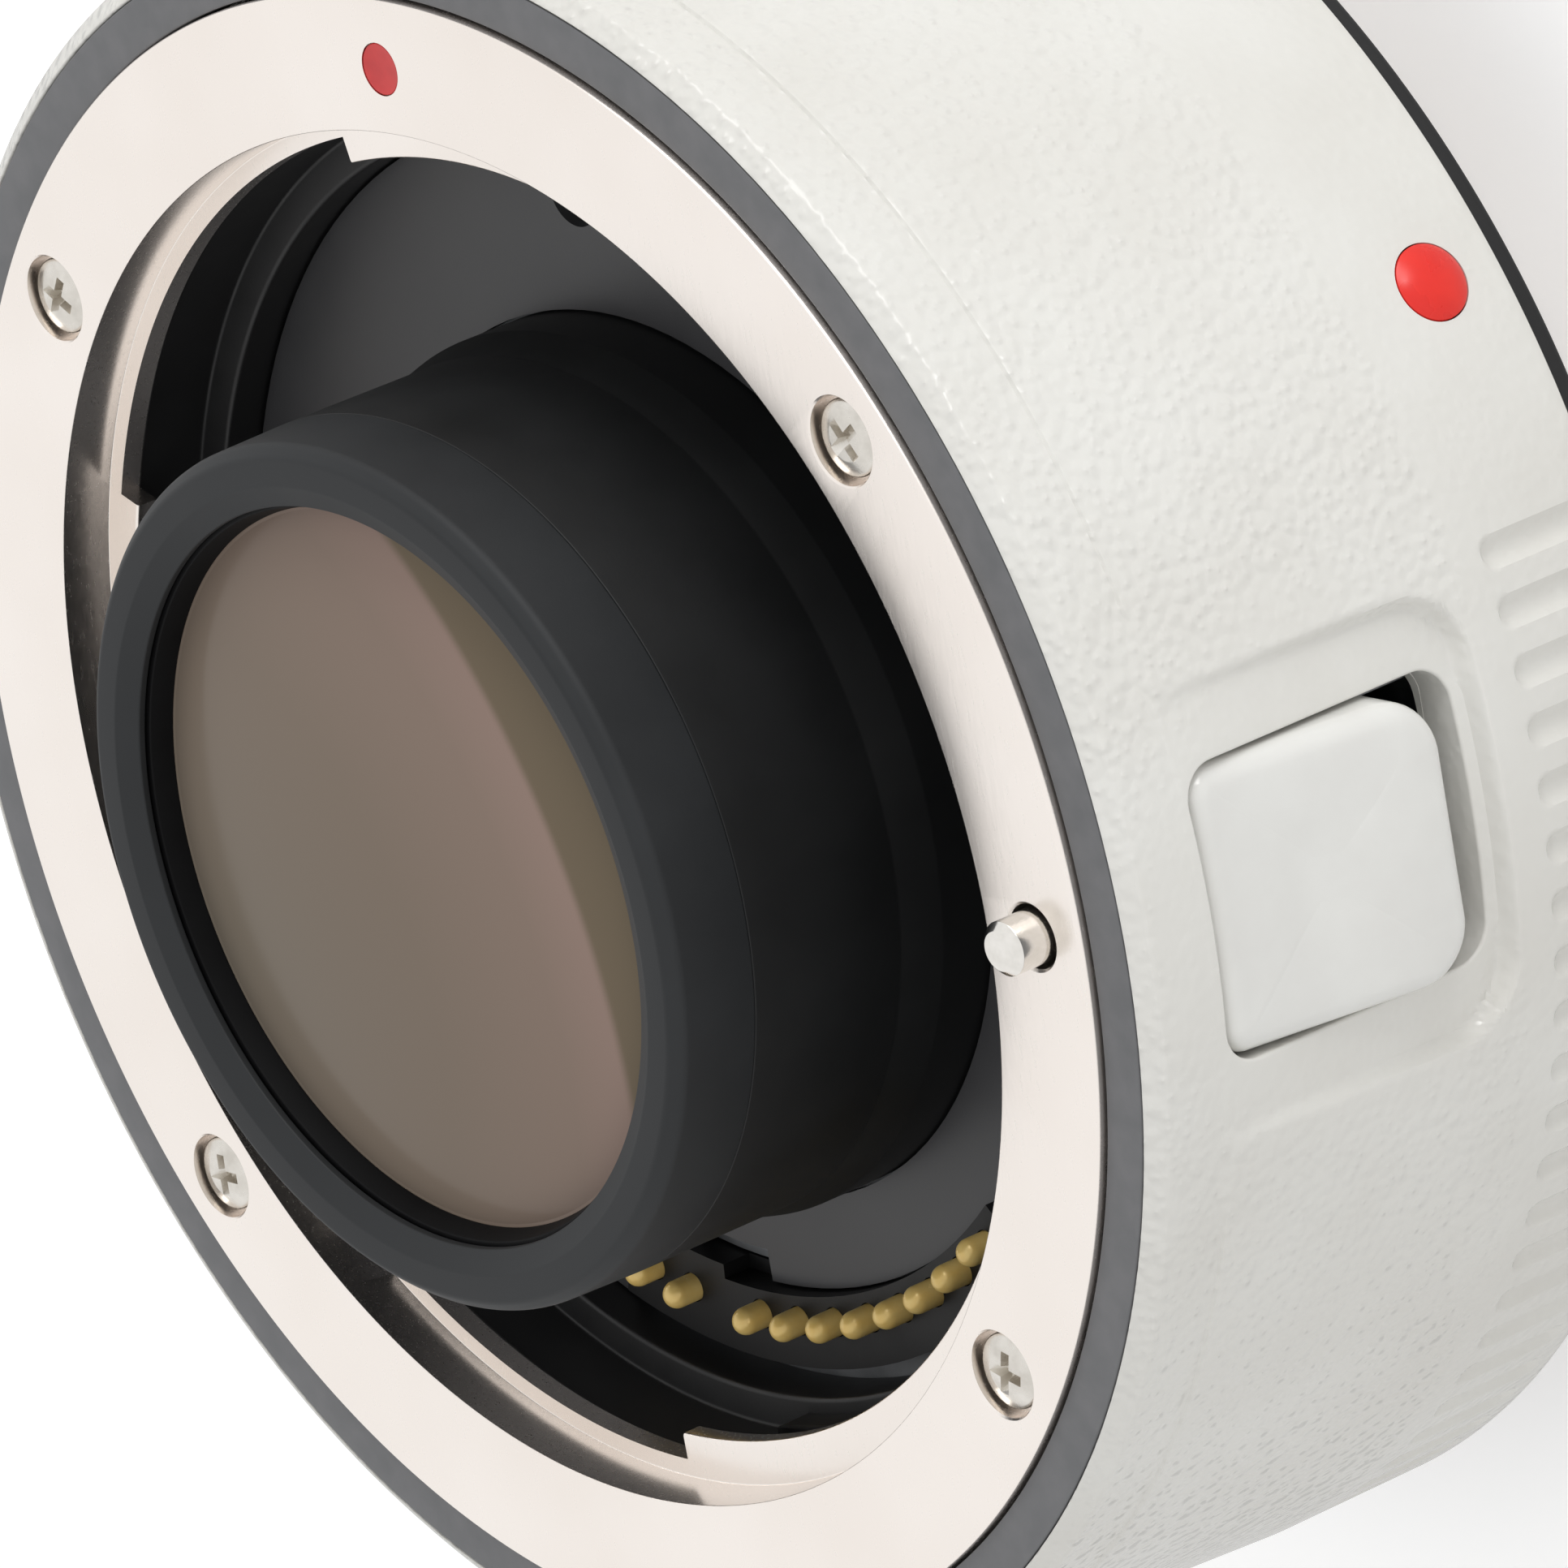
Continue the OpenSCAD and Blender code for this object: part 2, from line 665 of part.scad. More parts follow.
module front_contact_block() {
    bore_d = flange_d + 2 * fit;
    color("black")
    difference() {
        ring_sector(block_in_r, block_out_r, board_top_z, block_top_z, block_low_deg, block_high_deg);
        ring_sector(block_in_r - 1, block_face_in_r, web_top_z, block_top_z + 1,
            block_split_deg, block_high_deg + 1);
        for (i = [1:pin_count])
            polar(pin_r, pin_deg(i)) {
                translate([0, 0, flange_top_z - 1])
                    cylinder(d = pin_d + 2 * fit, h = block_top_z - flange_top_z + 2);
                translate([0, 0, board_top_z - 1])
                    cylinder(d = bore_d, h = flange_top_z + 1 - board_top_z);
            }
    }
}

module contact_pin(i) {
    tip_z = block_top_z + pin_rise;
    color("gold")
    polar(pin_r, pin_deg(i)) {
        translate([0, 0, flange_top_z - flange_t])
            cylinder(d = flange_d, h = flange_t);
        translate([0, 0, flange_top_z - eps])
            cylinder(d = pin_d, h = tip_z - pin_d / 2 - flange_top_z + eps);
        translate([0, 0, tip_z - pin_d / 2])
            sphere(d = pin_d);
    }
}

module contact_springs() {
    color("silver")
    for (i = [1:pin_count])
        polar(pin_r, pin_deg(i))
            ring(flange_d / 2 - spring_sleeve_wall, flange_d / 2, board_top_z, flange_top_z - flange_t);
}

// Inner frame

module core_frame() {
    thread_l = screw_shank_l + thread_spare;
    color("slategray")
    difference() {
        union() {
            difference() {
                rotate_extrude()
                    polygon([
                        [hub_bore_r, core_low_z], [hub_r, core_low_z], [hub_r, web_low_z],
                        [core_wall_in_r, web_low_z], [core_wall_in_r, core_low_z], [core_r, core_low_z],
                        [core_r, lip_low_z], [boss_out_r, lip_low_z], [boss_out_r, mount_low_z],
                        [boss_in_r, mount_low_z], [boss_in_r, web_top_z], [hub_bore_r, web_top_z]]);
                translate([pocket_in_x, -pocket_w / 2, pocket_low_z])
                    cube([core_r, pocket_w, pocket_top_z - pocket_low_z]);
            }
            for (deg = board_screw_angles)
                polar(standoff_r, deg, board_top_z)
                    cylinder(d = standoff_d, h = board_gap + web_t / 2);
            translate([screw_r, 0, pocket_low_z - 1])
                cylinder(d = spring_post_d, h = spring_post_l + 1);
        }
        ring_sector(block_in_r - loose, block_out_r + loose, web_low_z - 1, web_top_z + 1,
            block_low_deg - block_gap_deg, block_high_deg + block_gap_deg);
        polar(screw_r, 0, pocket_top_z - 1)
            cylinder(d = lock_pin_d + 2 * loose, h = mount_low_z - pocket_top_z + 2);
        for (deg = mount_screw_angles)
            polar(screw_r, deg, mount_low_z - thread_l)
                cylinder(d = screw_hole_d, h = thread_l + 1);
        for (deg = rear_screw_angles)
            polar(screw_r, deg, core_low_z - 1)
                cylinder(d = screw_hole_d, h = thread_l - rear_frame_t + 1);
        for (deg = board_screw_angles)
            polar(standoff_r, deg, board_top_z - 1)
                cylinder(d = small_hole_d, h = board_screw_l - board_t + thread_spare + 1);
        for (deg = cover_screw_angles)
            polar(cover_screw_r, deg, web_low_z - 1)
                cylinder(d = small_hole_d, h = web_t + 2);
    }
}

module rear_frame() {
    color("slategray")
    difference() {
        ring(hub_bore_r, core_r, rear_flange_t, core_low_z);
        for (deg = rear_screw_angles)
            polar(screw_r, deg, 0)
                cylinder(d = screw_hole_d, h = core_low_z + 1);
        ring_sector(ribbon_r() - ribbon_room, ribbon_r() + ribbon_t + ribbon_room, 0, core_low_z + 1,
            ribbon_deg - ribbon_half_deg - 1, ribbon_deg + ribbon_half_deg + 1);
    }
}

module main_board() {
    color("darkgreen")
    difference() {
        ring(board_in_r, board_out_r, board_low_z, board_top_z);
        for (deg = board_screw_angles)
            polar(standoff_r, deg, board_low_z - 1)
                cylinder(d = small_hole_d, h = board_t + 2);
    }
}

module board_chip(r, deg, w, l, h) {
    polar(r, deg, board_low_z - h)
        translate([-w / 2, -l / 2, 0])
            cube([w, l, h]);
}

module board_chips() {
    mid_r = (board_in_r + board_out_r) / 2;
    color("black") {
        board_chip(mid_r, 90, 5, 5, 1);
        board_chip(mid_r, 66, 3, 4, 0.9);
        board_chip(mid_r, 172, 4, 6, 1);
    }
    color("tan")
        for (deg = [105, 110, 115, 185, 190])
            board_chip(mid_r, deg, 1.6, 0.8, 0.8);
}

module board_screws() {
    color("silver")
    for (deg = board_screw_angles)
        polar(standoff_r, deg, board_low_z - small_head_h)
            mirror([0, 0, 1])
                cross_screw(small_head_d, small_head_h, small_shank_d, board_screw_l);
}

ribbon_place = 0.75;
function ribbon_r() = shield_in_r + ribbon_place;

module flex_ribbon() {
    color("orange")
    ring_sector(ribbon_r(), ribbon_r() + ribbon_t, seat_ledge_z - loose, board_low_z,
        ribbon_deg - ribbon_half_deg, ribbon_deg + ribbon_half_deg);
}

// Lens cell

module lens_cell() {
    front_bore_r = front_glass_r + fit;
    mid_bore_r = mid_glass_r + fit;
    rear_bore_r = rear_glass_r + fit;
    seat_r = min(mid_glass_r, rear_glass_r) - seat_w;
    neck_top_z = top_z - lip_t_hood - fit;
    color("black")
    rotate_extrude()
        polygon([
            [rear_bore_r, cell_low_z], [cell_r, cell_low_z], [cell_r, web_top_z], [skirt_r, web_top_z],
            [skirt_r, face_z - skirt_full], [hood_r, face_z - skirt_top], [hood_r, seam_z],
            [neck_r, seam_z], [neck_r, neck_top_z], [front_bore_r, neck_top_z], [front_bore_r, mid_z1],
            [mid_bore_r, mid_z1], [mid_bore_r, mid_z4], [seat_r, mid_z4], [seat_r, rear_seat_z],
            [rear_bore_r, rear_seat_z]]);
}

module front_hood() {
    lip_cover = 0.2;
    lip_in_r = front_glass_r - lip_cover;
    lip_out_r = hood_r - hood_taper;
    color("dimgray")
    rotate_extrude()
        polygon(concat(
            [[hood_in_r, seam_z], [hood_r, seam_z]],
            arc(lip_out_r - lip_round, top_z - lip_round, lip_round, 0, 90),
            arc(lip_in_r + lip_round / 2, top_z - lip_round / 2, lip_round / 2, 90, 180),
            [[lip_in_r, top_z - lip_t_hood], [hood_in_r, top_z - lip_t_hood]]));
}

module front_retaining_ring() {
    color("black")
    ring(front_glass_r - ring_w, front_glass_r, glass_z1, glass_z1 + front_ring_t);
}

module lens_spacer() {
    color("black")
    ring(mid_glass_r - seat_w, front_glass_r, mid_z1, glass_z3);
}

module rear_retaining_ring() {
    color("black")
    ring(rear_glass_r - rear_ring_w, rear_glass_r, rear_z3 - ring_t, rear_z3);
}

module cell_lock_ring() {
    color("black")
    ring(cell_r + fit, cell_r + lock_ring_w, rear_flange_t - lock_ring_t, rear_flange_t);
}

// A disc of glass: each side is flat (zero), bulges out (positive radius) or is hollow (negative radius)
module glass(half, front_z, rear_z, front_r, rear_r, front_half, rear_half) {
    big = 2 * half;
    $fn = 240;
    difference() {
        union() {
            translate([0, 0, rear_z])
                cylinder(r = half, h = front_z - rear_z);
            if (front_r > 0)
                intersection() {
                    translate([0, 0, front_z + sag(front_r, front_half) - front_r])
                        sphere(r = front_r);
                    translate([0, 0, front_z - eps])
                        cylinder(r = front_half, h = big);
                }
            if (rear_r > 0)
                intersection() {
                    translate([0, 0, rear_z - sag(rear_r, rear_half) + rear_r])
                        sphere(r = rear_r);
                    translate([0, 0, rear_z - big])
                        cylinder(r = rear_half, h = big + eps);
                }
        }
        if (front_r < 0)
            translate([0, 0, front_z - sag(-front_r, front_half) - front_r])
                sphere(r = -front_r);
        if (rear_r < 0)
            translate([0, 0, rear_z + sag(-rear_r, rear_half) + rear_r])
                sphere(r = -rear_r);
    }
}

module lens_element(i) {
    front_half = front_glass_r - rim_flat;
    mid_half = mid_glass_r - seat_w - loose;
    rear_half = rear_glass_r - rear_ring_w - loose;
    color("lightsteelblue", 0.5) {
        if (i == 1)
            glass(front_glass_r, glass_z1, glass_z2, front_bulge_r, cement_r[0], front_half, front_glass_r);
        if (i == 2)
            glass(front_glass_r, glass_z2 - cement, glass_z3, -cement_r[0], -rear_face_r[0],
                front_glass_r, front_glass_r - seat_w);
        if (i == 3)
            glass(mid_glass_r, mid_z1, mid_z2, mid_front_r, cement_r[1], mid_half, mid_glass_r);
        if (i == 4)
            glass(mid_glass_r, mid_z2 - cement, mid_z3 + cement, -cement_r[1], -cement_r[2],
                mid_glass_r, mid_glass_r);
        if (i == 5)
            glass(mid_glass_r, mid_z3, mid_z4, cement_r[2], 0, mid_glass_r, mid_glass_r);
        if (i == 6)
            glass(rear_glass_r, rear_seat_z, rear_z2 + cement, -rear_face_r[1], -cement_r[3],
                rear_glass_r - seat_w, rear_glass_r);
        if (i == 7)
            glass(rear_glass_r, rear_z2, rear_z3, cement_r[3], rear_face_r[2], rear_glass_r, rear_half);
    }
}

// Camera-side bayonet

module rear_mount_ring() {
    color("silver")
    difference() {
        ring(male_r + fit, rear_flange_r, 0, rear_flange_t);
        for (deg = rear_screw_angles)
            polar(screw_r, deg) {
                translate([0, 0, -1])
                    cylinder(d = screw_head_d + 2 * cap_gap, h = screw_head_h + screw_sink + 1);
                cylinder(d = screw_hole_d, h = rear_flange_t + 1);
            }
        polar(screw_r, 0, -1)
            cylinder(d = lock_hole_d, h = rear_flange_t + 2);
    }
}

// The flange, tube and lugs of the male bayonet are three nodes, so that collision stays open between them
module rear_bayonet_tube() {
    color("silver")
    rotate_extrude()
        polygon([
            [male_in_r, -male_l], [male_r, -male_l], [male_r, rear_flange_t],
            [male_in_r - seat_ledge_w, rear_flange_t], [male_in_r - seat_ledge_w, seat_ledge_z],
            [male_in_r, seat_ledge_z]]);
}

module rear_bayonet_lugs() {
    color("silver")
    for (span = lug_spans)
        ring_sector(male_r + fit, lug_r, lug_top_z - lug_t, lug_top_z, span[0], span[1]);
}

module rear_mount_screws() {
    color("silver")
    for (deg = rear_screw_angles)
        polar(screw_r, deg, screw_sink)
            mirror([0, 0, 1])
                cross_screw(screw_head_d, screw_head_h, screw_shank_d, screw_shank_l);
}

module rear_gasket() {
    low_z = barrel_rear_gap - gasket_drop;
    step_z = min(rear_flange_t, barrel_rear_gap) - loose;
    color("black")
    rotate_extrude()
        polygon([
            [gasket_in_r, low_z], [gasket_out_r, low_z], [gasket_out_r, barrel_rear_gap],
            [core_r + loose, barrel_rear_gap], [core_r + loose, step_z], [gasket_in_r, step_z]]);
}

module rear_baffle() {
    color("black")
    difference() {
        rotate_extrude()
            polygon([
                [shield_in_r, rear_low_z], [shield_rim_r, rear_low_z], [shield_rim_r, -male_l - fit],
                [shield_out_r, -male_l - fit], [shield_out_r, seat_ledge_z - fit],
                [shield_in_r, seat_ledge_z - fit], [shield_in_r, shield_plate_z + shield_plate_t],
                [shield_hole_r, shield_plate_z + shield_plate_t], [shield_hole_r, shield_plate_z],
                [shield_in_r, shield_plate_z]]);
        ring_sector(shield_in_r, shield_rim_r + 1, rear_low_z - 1, 0,
            block_low_deg - block_gap_deg, block_high_deg + block_gap_deg);
    }
}

module rear_contact_block() {
    color("black")
    difference() {
        union() {
            ring_sector(shield_in_r + loose, shield_rim_r, rear_block_low_z, -male_l - fit,
                block_low_deg, block_high_deg);
            ring_sector(shield_in_r + loose, shield_out_r, rear_block_low_z, seat_ledge_z - loose,
                block_low_deg, block_high_deg);
        }
        for (i = [1:pin_count])
            polar(pin_r, pin_deg(i), rear_block_low_z - 1)
                cylinder(d = pad_d + 2 * fit, h = pad_t - pad_proud + 1);
    }
}

module rear_contact_pads() {
    color("gold")
    for (i = [1:pin_count])
        polar(pin_r, pin_deg(i), rear_block_low_z - pad_proud)
            cylinder(d = pad_d, h = pad_t);
}

// Release lever, lock pin and return spring: one sliding unit

function smooth(t) = t * t * (3 - 2 * t);

// Radius of the lever's outer face: flush in front, then an easy rise to the thumb ledge
function lever_face_r(z) =
    let (rise_from = lever_front_z - lever_l * 0.35, rise_to = lever_rear_z + lever_l * 0.12)
    recess_floor_r + lever_ledge * smooth(max(0, min(1, (rise_from - z) / (rise_from - rise_to))));

module release_lever() {
    steps = 14;
    face = [for (i = [0:steps]) let (z = lever_rear_z + lever_l * i / steps) [lever_face_r(z), z]];
    color("whitesmoke")
    difference() {
        union() {
            intersection() {
                along_x(lever_back_x, ledge_top_r + 1)
                    rounded_rect(lever_w, lever_rear_z, lever_front_z, lever_corner, lever_corner_rear);
                rotate_extrude()
                    polygon(concat([[slider_in_x, lever_front_z], [slider_in_x, lever_rear_z]], face));
            }
            translate([slider_out_x, -neck_w / 2, slider_low_z + neck_inset])
                cube([lever_back_x - slider_out_x + eps, neck_w, slider_h - 2 * neck_inset]);
        }
        for (side = [-1, 1])
            translate([slider_out_x - 1, side * lever_screw_y, lever_screw_z])
                rotate([0, 90, 0])
                    cylinder(d = small_hole_d, h = lever_screw_l + 1);
    }
}

module slider_plate() {
    color("silver")
    difference() {
        union() {
            translate([slider_in_x, -slider_w / 2, slider_low_z])
                cube([slider_t, slider_w, slider_h]);
            translate([screw_r, 0, slider_low_z - spring_stub_l])
                cylinder(d = spring_post_d, h = spring_stub_l + eps);
        }
        translate([screw_r, 0, slider_top_z - lock_stub_l])
            cylinder(d = lock_stub_d + 2 * fit, h = lock_stub_l + 1);
        for (side = [-1, 1])
            translate([slider_in_x - 1, side * lever_screw_y, lever_screw_z])
                rotate([0, 90, 0]) {
                    cylinder(d = small_head_d + 2 * fit, h = lever_screw_head_h + 1);
                    cylinder(d = small_hole_d, h = slider_t + 2);
                }
    }
}

module lock_pin() {
    pin_top_z = face_z + lock_pin_rise;
    half = lock_pin_d / 2;
    color("silver")
    translate([screw_r, 0, 0])
        rotate_extrude()
            polygon([
                [0, slider_top_z - lock_stub_l], [lock_stub_d / 2, slider_top_z - lock_stub_l],
                [lock_stub_d / 2, slider_top_z], [half, slider_top_z], [half, pin_top_z - lock_pin_chamfer],
                [half - lock_pin_chamfer, pin_top_z], [0, pin_top_z]]);
}

module lever_screws() {
    tip_gap = 0.2;
    color("silver")
    for (side = [-1, 1])
        translate([slider_in_x, side * lever_screw_y, lever_screw_z])
            rotate([0, -90, 0])
                cross_screw(small_head_d, lever_screw_head_h, small_shank_d,
                    slider_t - lever_screw_head_h + lever_screw_l - tip_gap);
}

// One round wire wound as a helix, standing on the pocket's floor
SPRING_SIDES = 6;
SPRING_RINGS = 8 * spring_turns;
spring_rise = spring_l - spring_wire - 2 * fit;
function spring_point(t) =
    let (deg = 360 * spring_turns * t, r = (spring_d - spring_wire) / 2)
    [screw_r + r * cos(deg), r * sin(deg), pocket_low_z + fit + spring_wire / 2 + spring_rise * t];
spring_pitch_gap = spring_rise / spring_turns - spring_wire;
echo(least_gap_between_curls = spring_pitch_gap);

module return_spring() {
    ring_points = [for (k = [0:SPRING_RINGS]) for (s = [0:SPRING_SIDES - 1])
        let (t = k / SPRING_RINGS, deg = 360 * spring_turns * t, turn = 360 * s / SPRING_SIDES)
        spring_point(t) + spring_wire / 2 * [cos(turn) * cos(deg), cos(turn) * sin(deg), sin(turn)]];
    sides = [for (k = [0:SPRING_RINGS - 1]) for (s = [0:SPRING_SIDES - 1])
        let (n = SPRING_SIDES, a = k * n + s, b = k * n + (s + 1) % n)
        each [[a, b, b + n], [a, b + n, a + n]]];
    start_cap = [for (s = [1:SPRING_SIDES - 2]) [0, s + 1, s]];
    last = SPRING_RINGS * SPRING_SIDES;
    end_cap = [for (s = [1:SPRING_SIDES - 2]) [last, last + s, last + s + 1]];
    color("silver")
    polyhedron(ring_points, concat(sides, start_cap, end_cap));
}

outer_barrel();
front_trim_ring();
lens_mount_ring();
lens_mount_screws();
mount_index_dot();
barrel_index_dot();
bayonet_springs();
throat_lining();
front_cover_plate();
cover_screws();
front_contact_block();
contact_springs();
core_frame();
rear_frame();
lens_cell();
front_hood();
front_retaining_ring();
lens_spacer();
rear_retaining_ring();
cell_lock_ring();
main_board();
board_chips();
board_screws();
flex_ribbon();
rear_mount_ring();
rear_bayonet_tube();
rear_bayonet_lugs();
rear_mount_screws();
rear_gasket();
rear_baffle();
rear_contact_block();
rear_contact_pads();
release_lever();
slider_plate();
lock_pin();
lever_screws();
return_spring();
for (i = [1:pin_count])
    contact_pin(i);
for (i = [1:7])
    lens_element(i);
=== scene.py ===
# Camera teleconverter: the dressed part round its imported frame.
# Sizes are in millimetres, heights count from the camera-side flange and angles from the release lever.

import math

import bpy
import numpy as np
from mathutils import Matrix, Vector


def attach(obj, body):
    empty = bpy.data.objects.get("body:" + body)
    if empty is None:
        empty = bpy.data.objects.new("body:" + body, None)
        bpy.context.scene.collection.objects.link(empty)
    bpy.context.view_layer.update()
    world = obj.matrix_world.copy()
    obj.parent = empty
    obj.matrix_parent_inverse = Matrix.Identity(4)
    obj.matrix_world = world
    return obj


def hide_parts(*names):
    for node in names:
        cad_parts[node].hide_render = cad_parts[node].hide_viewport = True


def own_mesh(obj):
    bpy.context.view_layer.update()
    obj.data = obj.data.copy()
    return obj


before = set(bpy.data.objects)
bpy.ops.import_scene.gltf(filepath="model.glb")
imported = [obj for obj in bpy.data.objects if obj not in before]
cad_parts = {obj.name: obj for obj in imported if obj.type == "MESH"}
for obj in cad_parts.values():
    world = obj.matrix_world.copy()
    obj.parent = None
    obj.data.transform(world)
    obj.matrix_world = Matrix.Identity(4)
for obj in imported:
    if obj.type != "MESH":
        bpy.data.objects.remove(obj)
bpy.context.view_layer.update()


# Outer barrel
# A turned aluminium shell under pale enamel: a front land, a pebbled cone and a smoother grip band with flutes.
# It is screwed to the inner frame from behind, and its slot guides the release lever in a shallow recess.

def shaded(mesh, crease=32):
    """Smooth shading that stops at corners sharper than the crease, in degrees."""
    mesh.polygons.foreach_set("use_smooth", [True] * len(mesh.polygons))
    mesh.set_sharp_from_angle(angle=math.radians(crease))
    mesh.update()


def meshed(name, points, faces):
    """A new piece from points in millimetres and faces."""
    mesh = bpy.data.meshes.new(name)
    mesh.from_pydata((np.asarray(points, float) * 0.001).tolist(), [], faces)
    shaded(mesh)
    piece = bpy.data.objects.new(name, mesh)
    bpy.context.scene.collection.objects.link(piece)
    return piece


def carved(piece, tool, how="DIFFERENCE"):
    """Takes the tool's shape out of the piece, or joins it on, and clears the tool away."""
    step = piece.modifiers.new("carve", "BOOLEAN")
    step.operation, step.solver, step.object = how, "EXACT", tool
    bpy.context.view_layer.objects.active = piece
    bpy.ops.object.modifier_apply(modifier=step.name)
    bpy.data.objects.remove(tool)
    shaded(piece.data)
    return piece


def prism(name, first_end, last_end):
    """A closed block between two outlines with the same number of corners."""
    sides = len(first_end)
    faces = [tuple(range(sides))[::-1], tuple(range(sides, 2 * sides))]
    faces += [(i, (i + 1) % sides, sides + (i + 1) % sides, sides + i) for i in range(sides)]
    return meshed(name, first_end + last_end, faces)


def round_rect(half_w, low, high, corner_low, corner_high, steps=8):
    """Corners of a rounded rectangle in Y and Z, anticlockwise seen from outside the barrel."""
    turns = ((half_w - corner_low, low + corner_low, corner_low, 270),
             (half_w - corner_high, high - corner_high, corner_high, 0),
             (corner_high - half_w, high - corner_high, corner_high, 90),
             (corner_low - half_w, low + corner_low, corner_low, 180))
    return np.array([(y + r * math.cos(a), z + r * math.sin(a))
                     for y, z, r, start in turns
                     for a in np.radians(np.linspace(start, start + 90, steps + 1))])


def inside_rect(y, z, half_w, low, high, corner):
    """Signed distance to a rounded rectangle: negative inside it."""
    over_y = np.abs(y) - half_w + corner
    over_z = np.abs(z - (low + high) / 2) - (high - low) / 2 + corner
    past_corner = np.hypot(np.maximum(over_y, 0), np.maximum(over_z, 0))
    return past_corner + np.minimum(np.maximum(over_y, over_z), 0) - corner


def eased_step(t):
    """A smooth rise from 0 to 1 as t goes from 0 to 1."""
    t = np.clip(t, 0, 1)
    return t * t * (3 - 2 * t)


grip_r = 35.9
flute_pitch, flute_first, flute_count = 3.6, 14.25, 71
flute_half, flute_deep, flute_low, flute_high = 0.65, 0.35, 2.9, 8.2
recess_half, recess_low, recess_high, recess_corner, recess_floor = 8.35, 10.0, 33.0, 2.6, 35.05
recess_edge = 0.33
slot_half, slot_low, slot_high, slot_corner, slot_edge = 5.65, 10.6, 23.3, 1.45, 0.15
slot_floor_x, slot_spare = 33.1, 0.02


def wall_r(z):
    """Radius of the barrel's outside: grip band, cone, small step, front land."""
    return np.interp(z, [9.1, 9.5, 23.4, 23.48, 23.57, 23.65], [35.9, 35.88, 35.155, 35.13, 35.02, 35.0])


def skin_r(y, z):
    """Radius of the outside with the lever's recess sunk into it."""
    base = wall_r(z)
    from_edge = inside_rect(y, z, recess_half, recess_low, recess_high, recess_corner)
    sunk = eased_step(0.5 - from_edge / (2 * recess_edge))
    return base - sunk * np.maximum(base - recess_floor, 0)


flute_angles = flute_first - flute_pitch * np.arange(flute_count)
flute_cuts = np.array([-0.76, -0.66, -0.55, -0.42, -0.28, -0.14, 0, 0.14, 0.28, 0.42, 0.55, 0.66, 0.76])
plain_from, plain_to, plain_step = 17, 121.5, 0.75
turn = np.concatenate([(flute_angles[:, None] + np.degrees(flute_cuts / grip_r)).ravel(),
                       np.arange(plain_from, plain_to, plain_step)])
turn = np.unique(np.round((turn + 180) % 360 - 180, 5))
off_flute = np.abs((turn[:, None] - flute_angles + 180) % 360 - 180).min(1) * math.pi / 180 * grip_r

rear_edge = [(35.6, 2.0), (35.75, 2.03), (35.86, 2.13), (35.9, 2.3)]
skin_heights = np.concatenate([
    [2.55, 2.75, 2.9, 3.0, 3.12, 3.28, 3.46, 3.65, 4.5, 5.5, 6.5, 7.4, 7.6, 7.78, 7.93, 8.05, 8.15, 8.3, 8.7],
    [9.1, 9.3, 9.5], np.arange(10, 23.2, 0.45), [23.3, 23.4, 23.48, 23.57, 23.65, 23.8, 24.3, 24.9], [25.5, 26.1]])
front_edge = [(34.99, 26.22), (34.95, 26.31), (34.88, 26.38), (34.46, 26.73), (34.39, 26.79), (34.32, 26.83),
              (34.27, 26.85), (34.23, 26.83), (34.2, 26.78), (34.2, 25.35), (32.35, 25.35), (32.35, 24.4),
              (31.5, 24.4), (31.5, 22.9), (33.0, 22.9), (33.0, 2.0)]
radians = np.radians(turn)
levels = []
for r, z in rear_edge:
    levels.append((np.full(len(turn), r), z))
for z in skin_heights:
    beyond = max(0.0, flute_low + flute_half - z, z - flute_high + flute_half)
    hollow = np.clip(1 - (np.hypot(off_flute, beyond) / flute_half) ** 2, 0, 1)
    flute = flute_deep * 1.12 * hollow ** 2 / (hollow + 0.12)
    levels.append((skin_r(grip_r * np.sin(radians), z) - flute, z))
for r, z in front_edge:
    levels.append((np.full(len(turn), r), z))
points = np.array([np.stack([r * np.cos(radians), r * np.sin(radians), np.full(len(turn), z)], 1)
                   for r, z in levels])
rows, columns = points.shape[:2]
points = points.reshape(-1, 3)

window_turn, window_low, window_high = 20, 9.1, 24.9
left = int(np.searchsorted(turn, -window_turn))
right = int(np.searchsorted(turn, window_turn)) - 1
bottom = len(rear_edge) + int(np.argmin(np.abs(skin_heights - window_low)))
top = len(rear_edge) + int(np.argmin(np.abs(skin_heights - window_high)))
faces = []
for j in range(rows):
    for i in range(columns):
        if bottom <= j < top and left <= i < right:
            continue
        k, n = (j + 1) % rows, (i + 1) % columns
        faces.append((j * columns + i, j * columns + n, k * columns + n, k * columns + i))

# Rings of points from the window in the shell to the slot's edge, over that edge and down its walls.
window = ([bottom * columns + i for i in range(left, right)]
          + [j * columns + right for j in range(bottom, top)]
          + [top * columns + i for i in range(right, left, -1)]
          + [j * columns + left for j in range(top, bottom, -1)])
outer_y, outer_z = points[window, 1], points[window, 2]
core_y = np.clip(outer_y, slot_corner - slot_half, slot_half - slot_corner)
core_z = np.clip(outer_z, slot_low + slot_corner, slot_high - slot_corner)
reach = np.hypot(outer_y - core_y, outer_z - core_z)
slot_y = core_y + (outer_y - core_y) / reach * slot_corner
slot_z = core_z + (outer_z - core_z) / reach * slot_corner
span = np.hypot(outer_y - slot_y, outer_z - slot_z)
rings = [window]
extra = [points]
count = len(points)
shares = [0.9, 0.8, 0.7, 0.62, 0.56, 0.52, 0.49, 0.46, 0.43, 0.4, 0.37, 0.34, 0.31, 0.28, 0.23, 0.16, 0.08, 0]
edge_turns = np.radians([90, 75, 60, 45, 30, 15, 0])
near = 0.45
steps = [(near + (span - near) * s, 0) for s in shares]
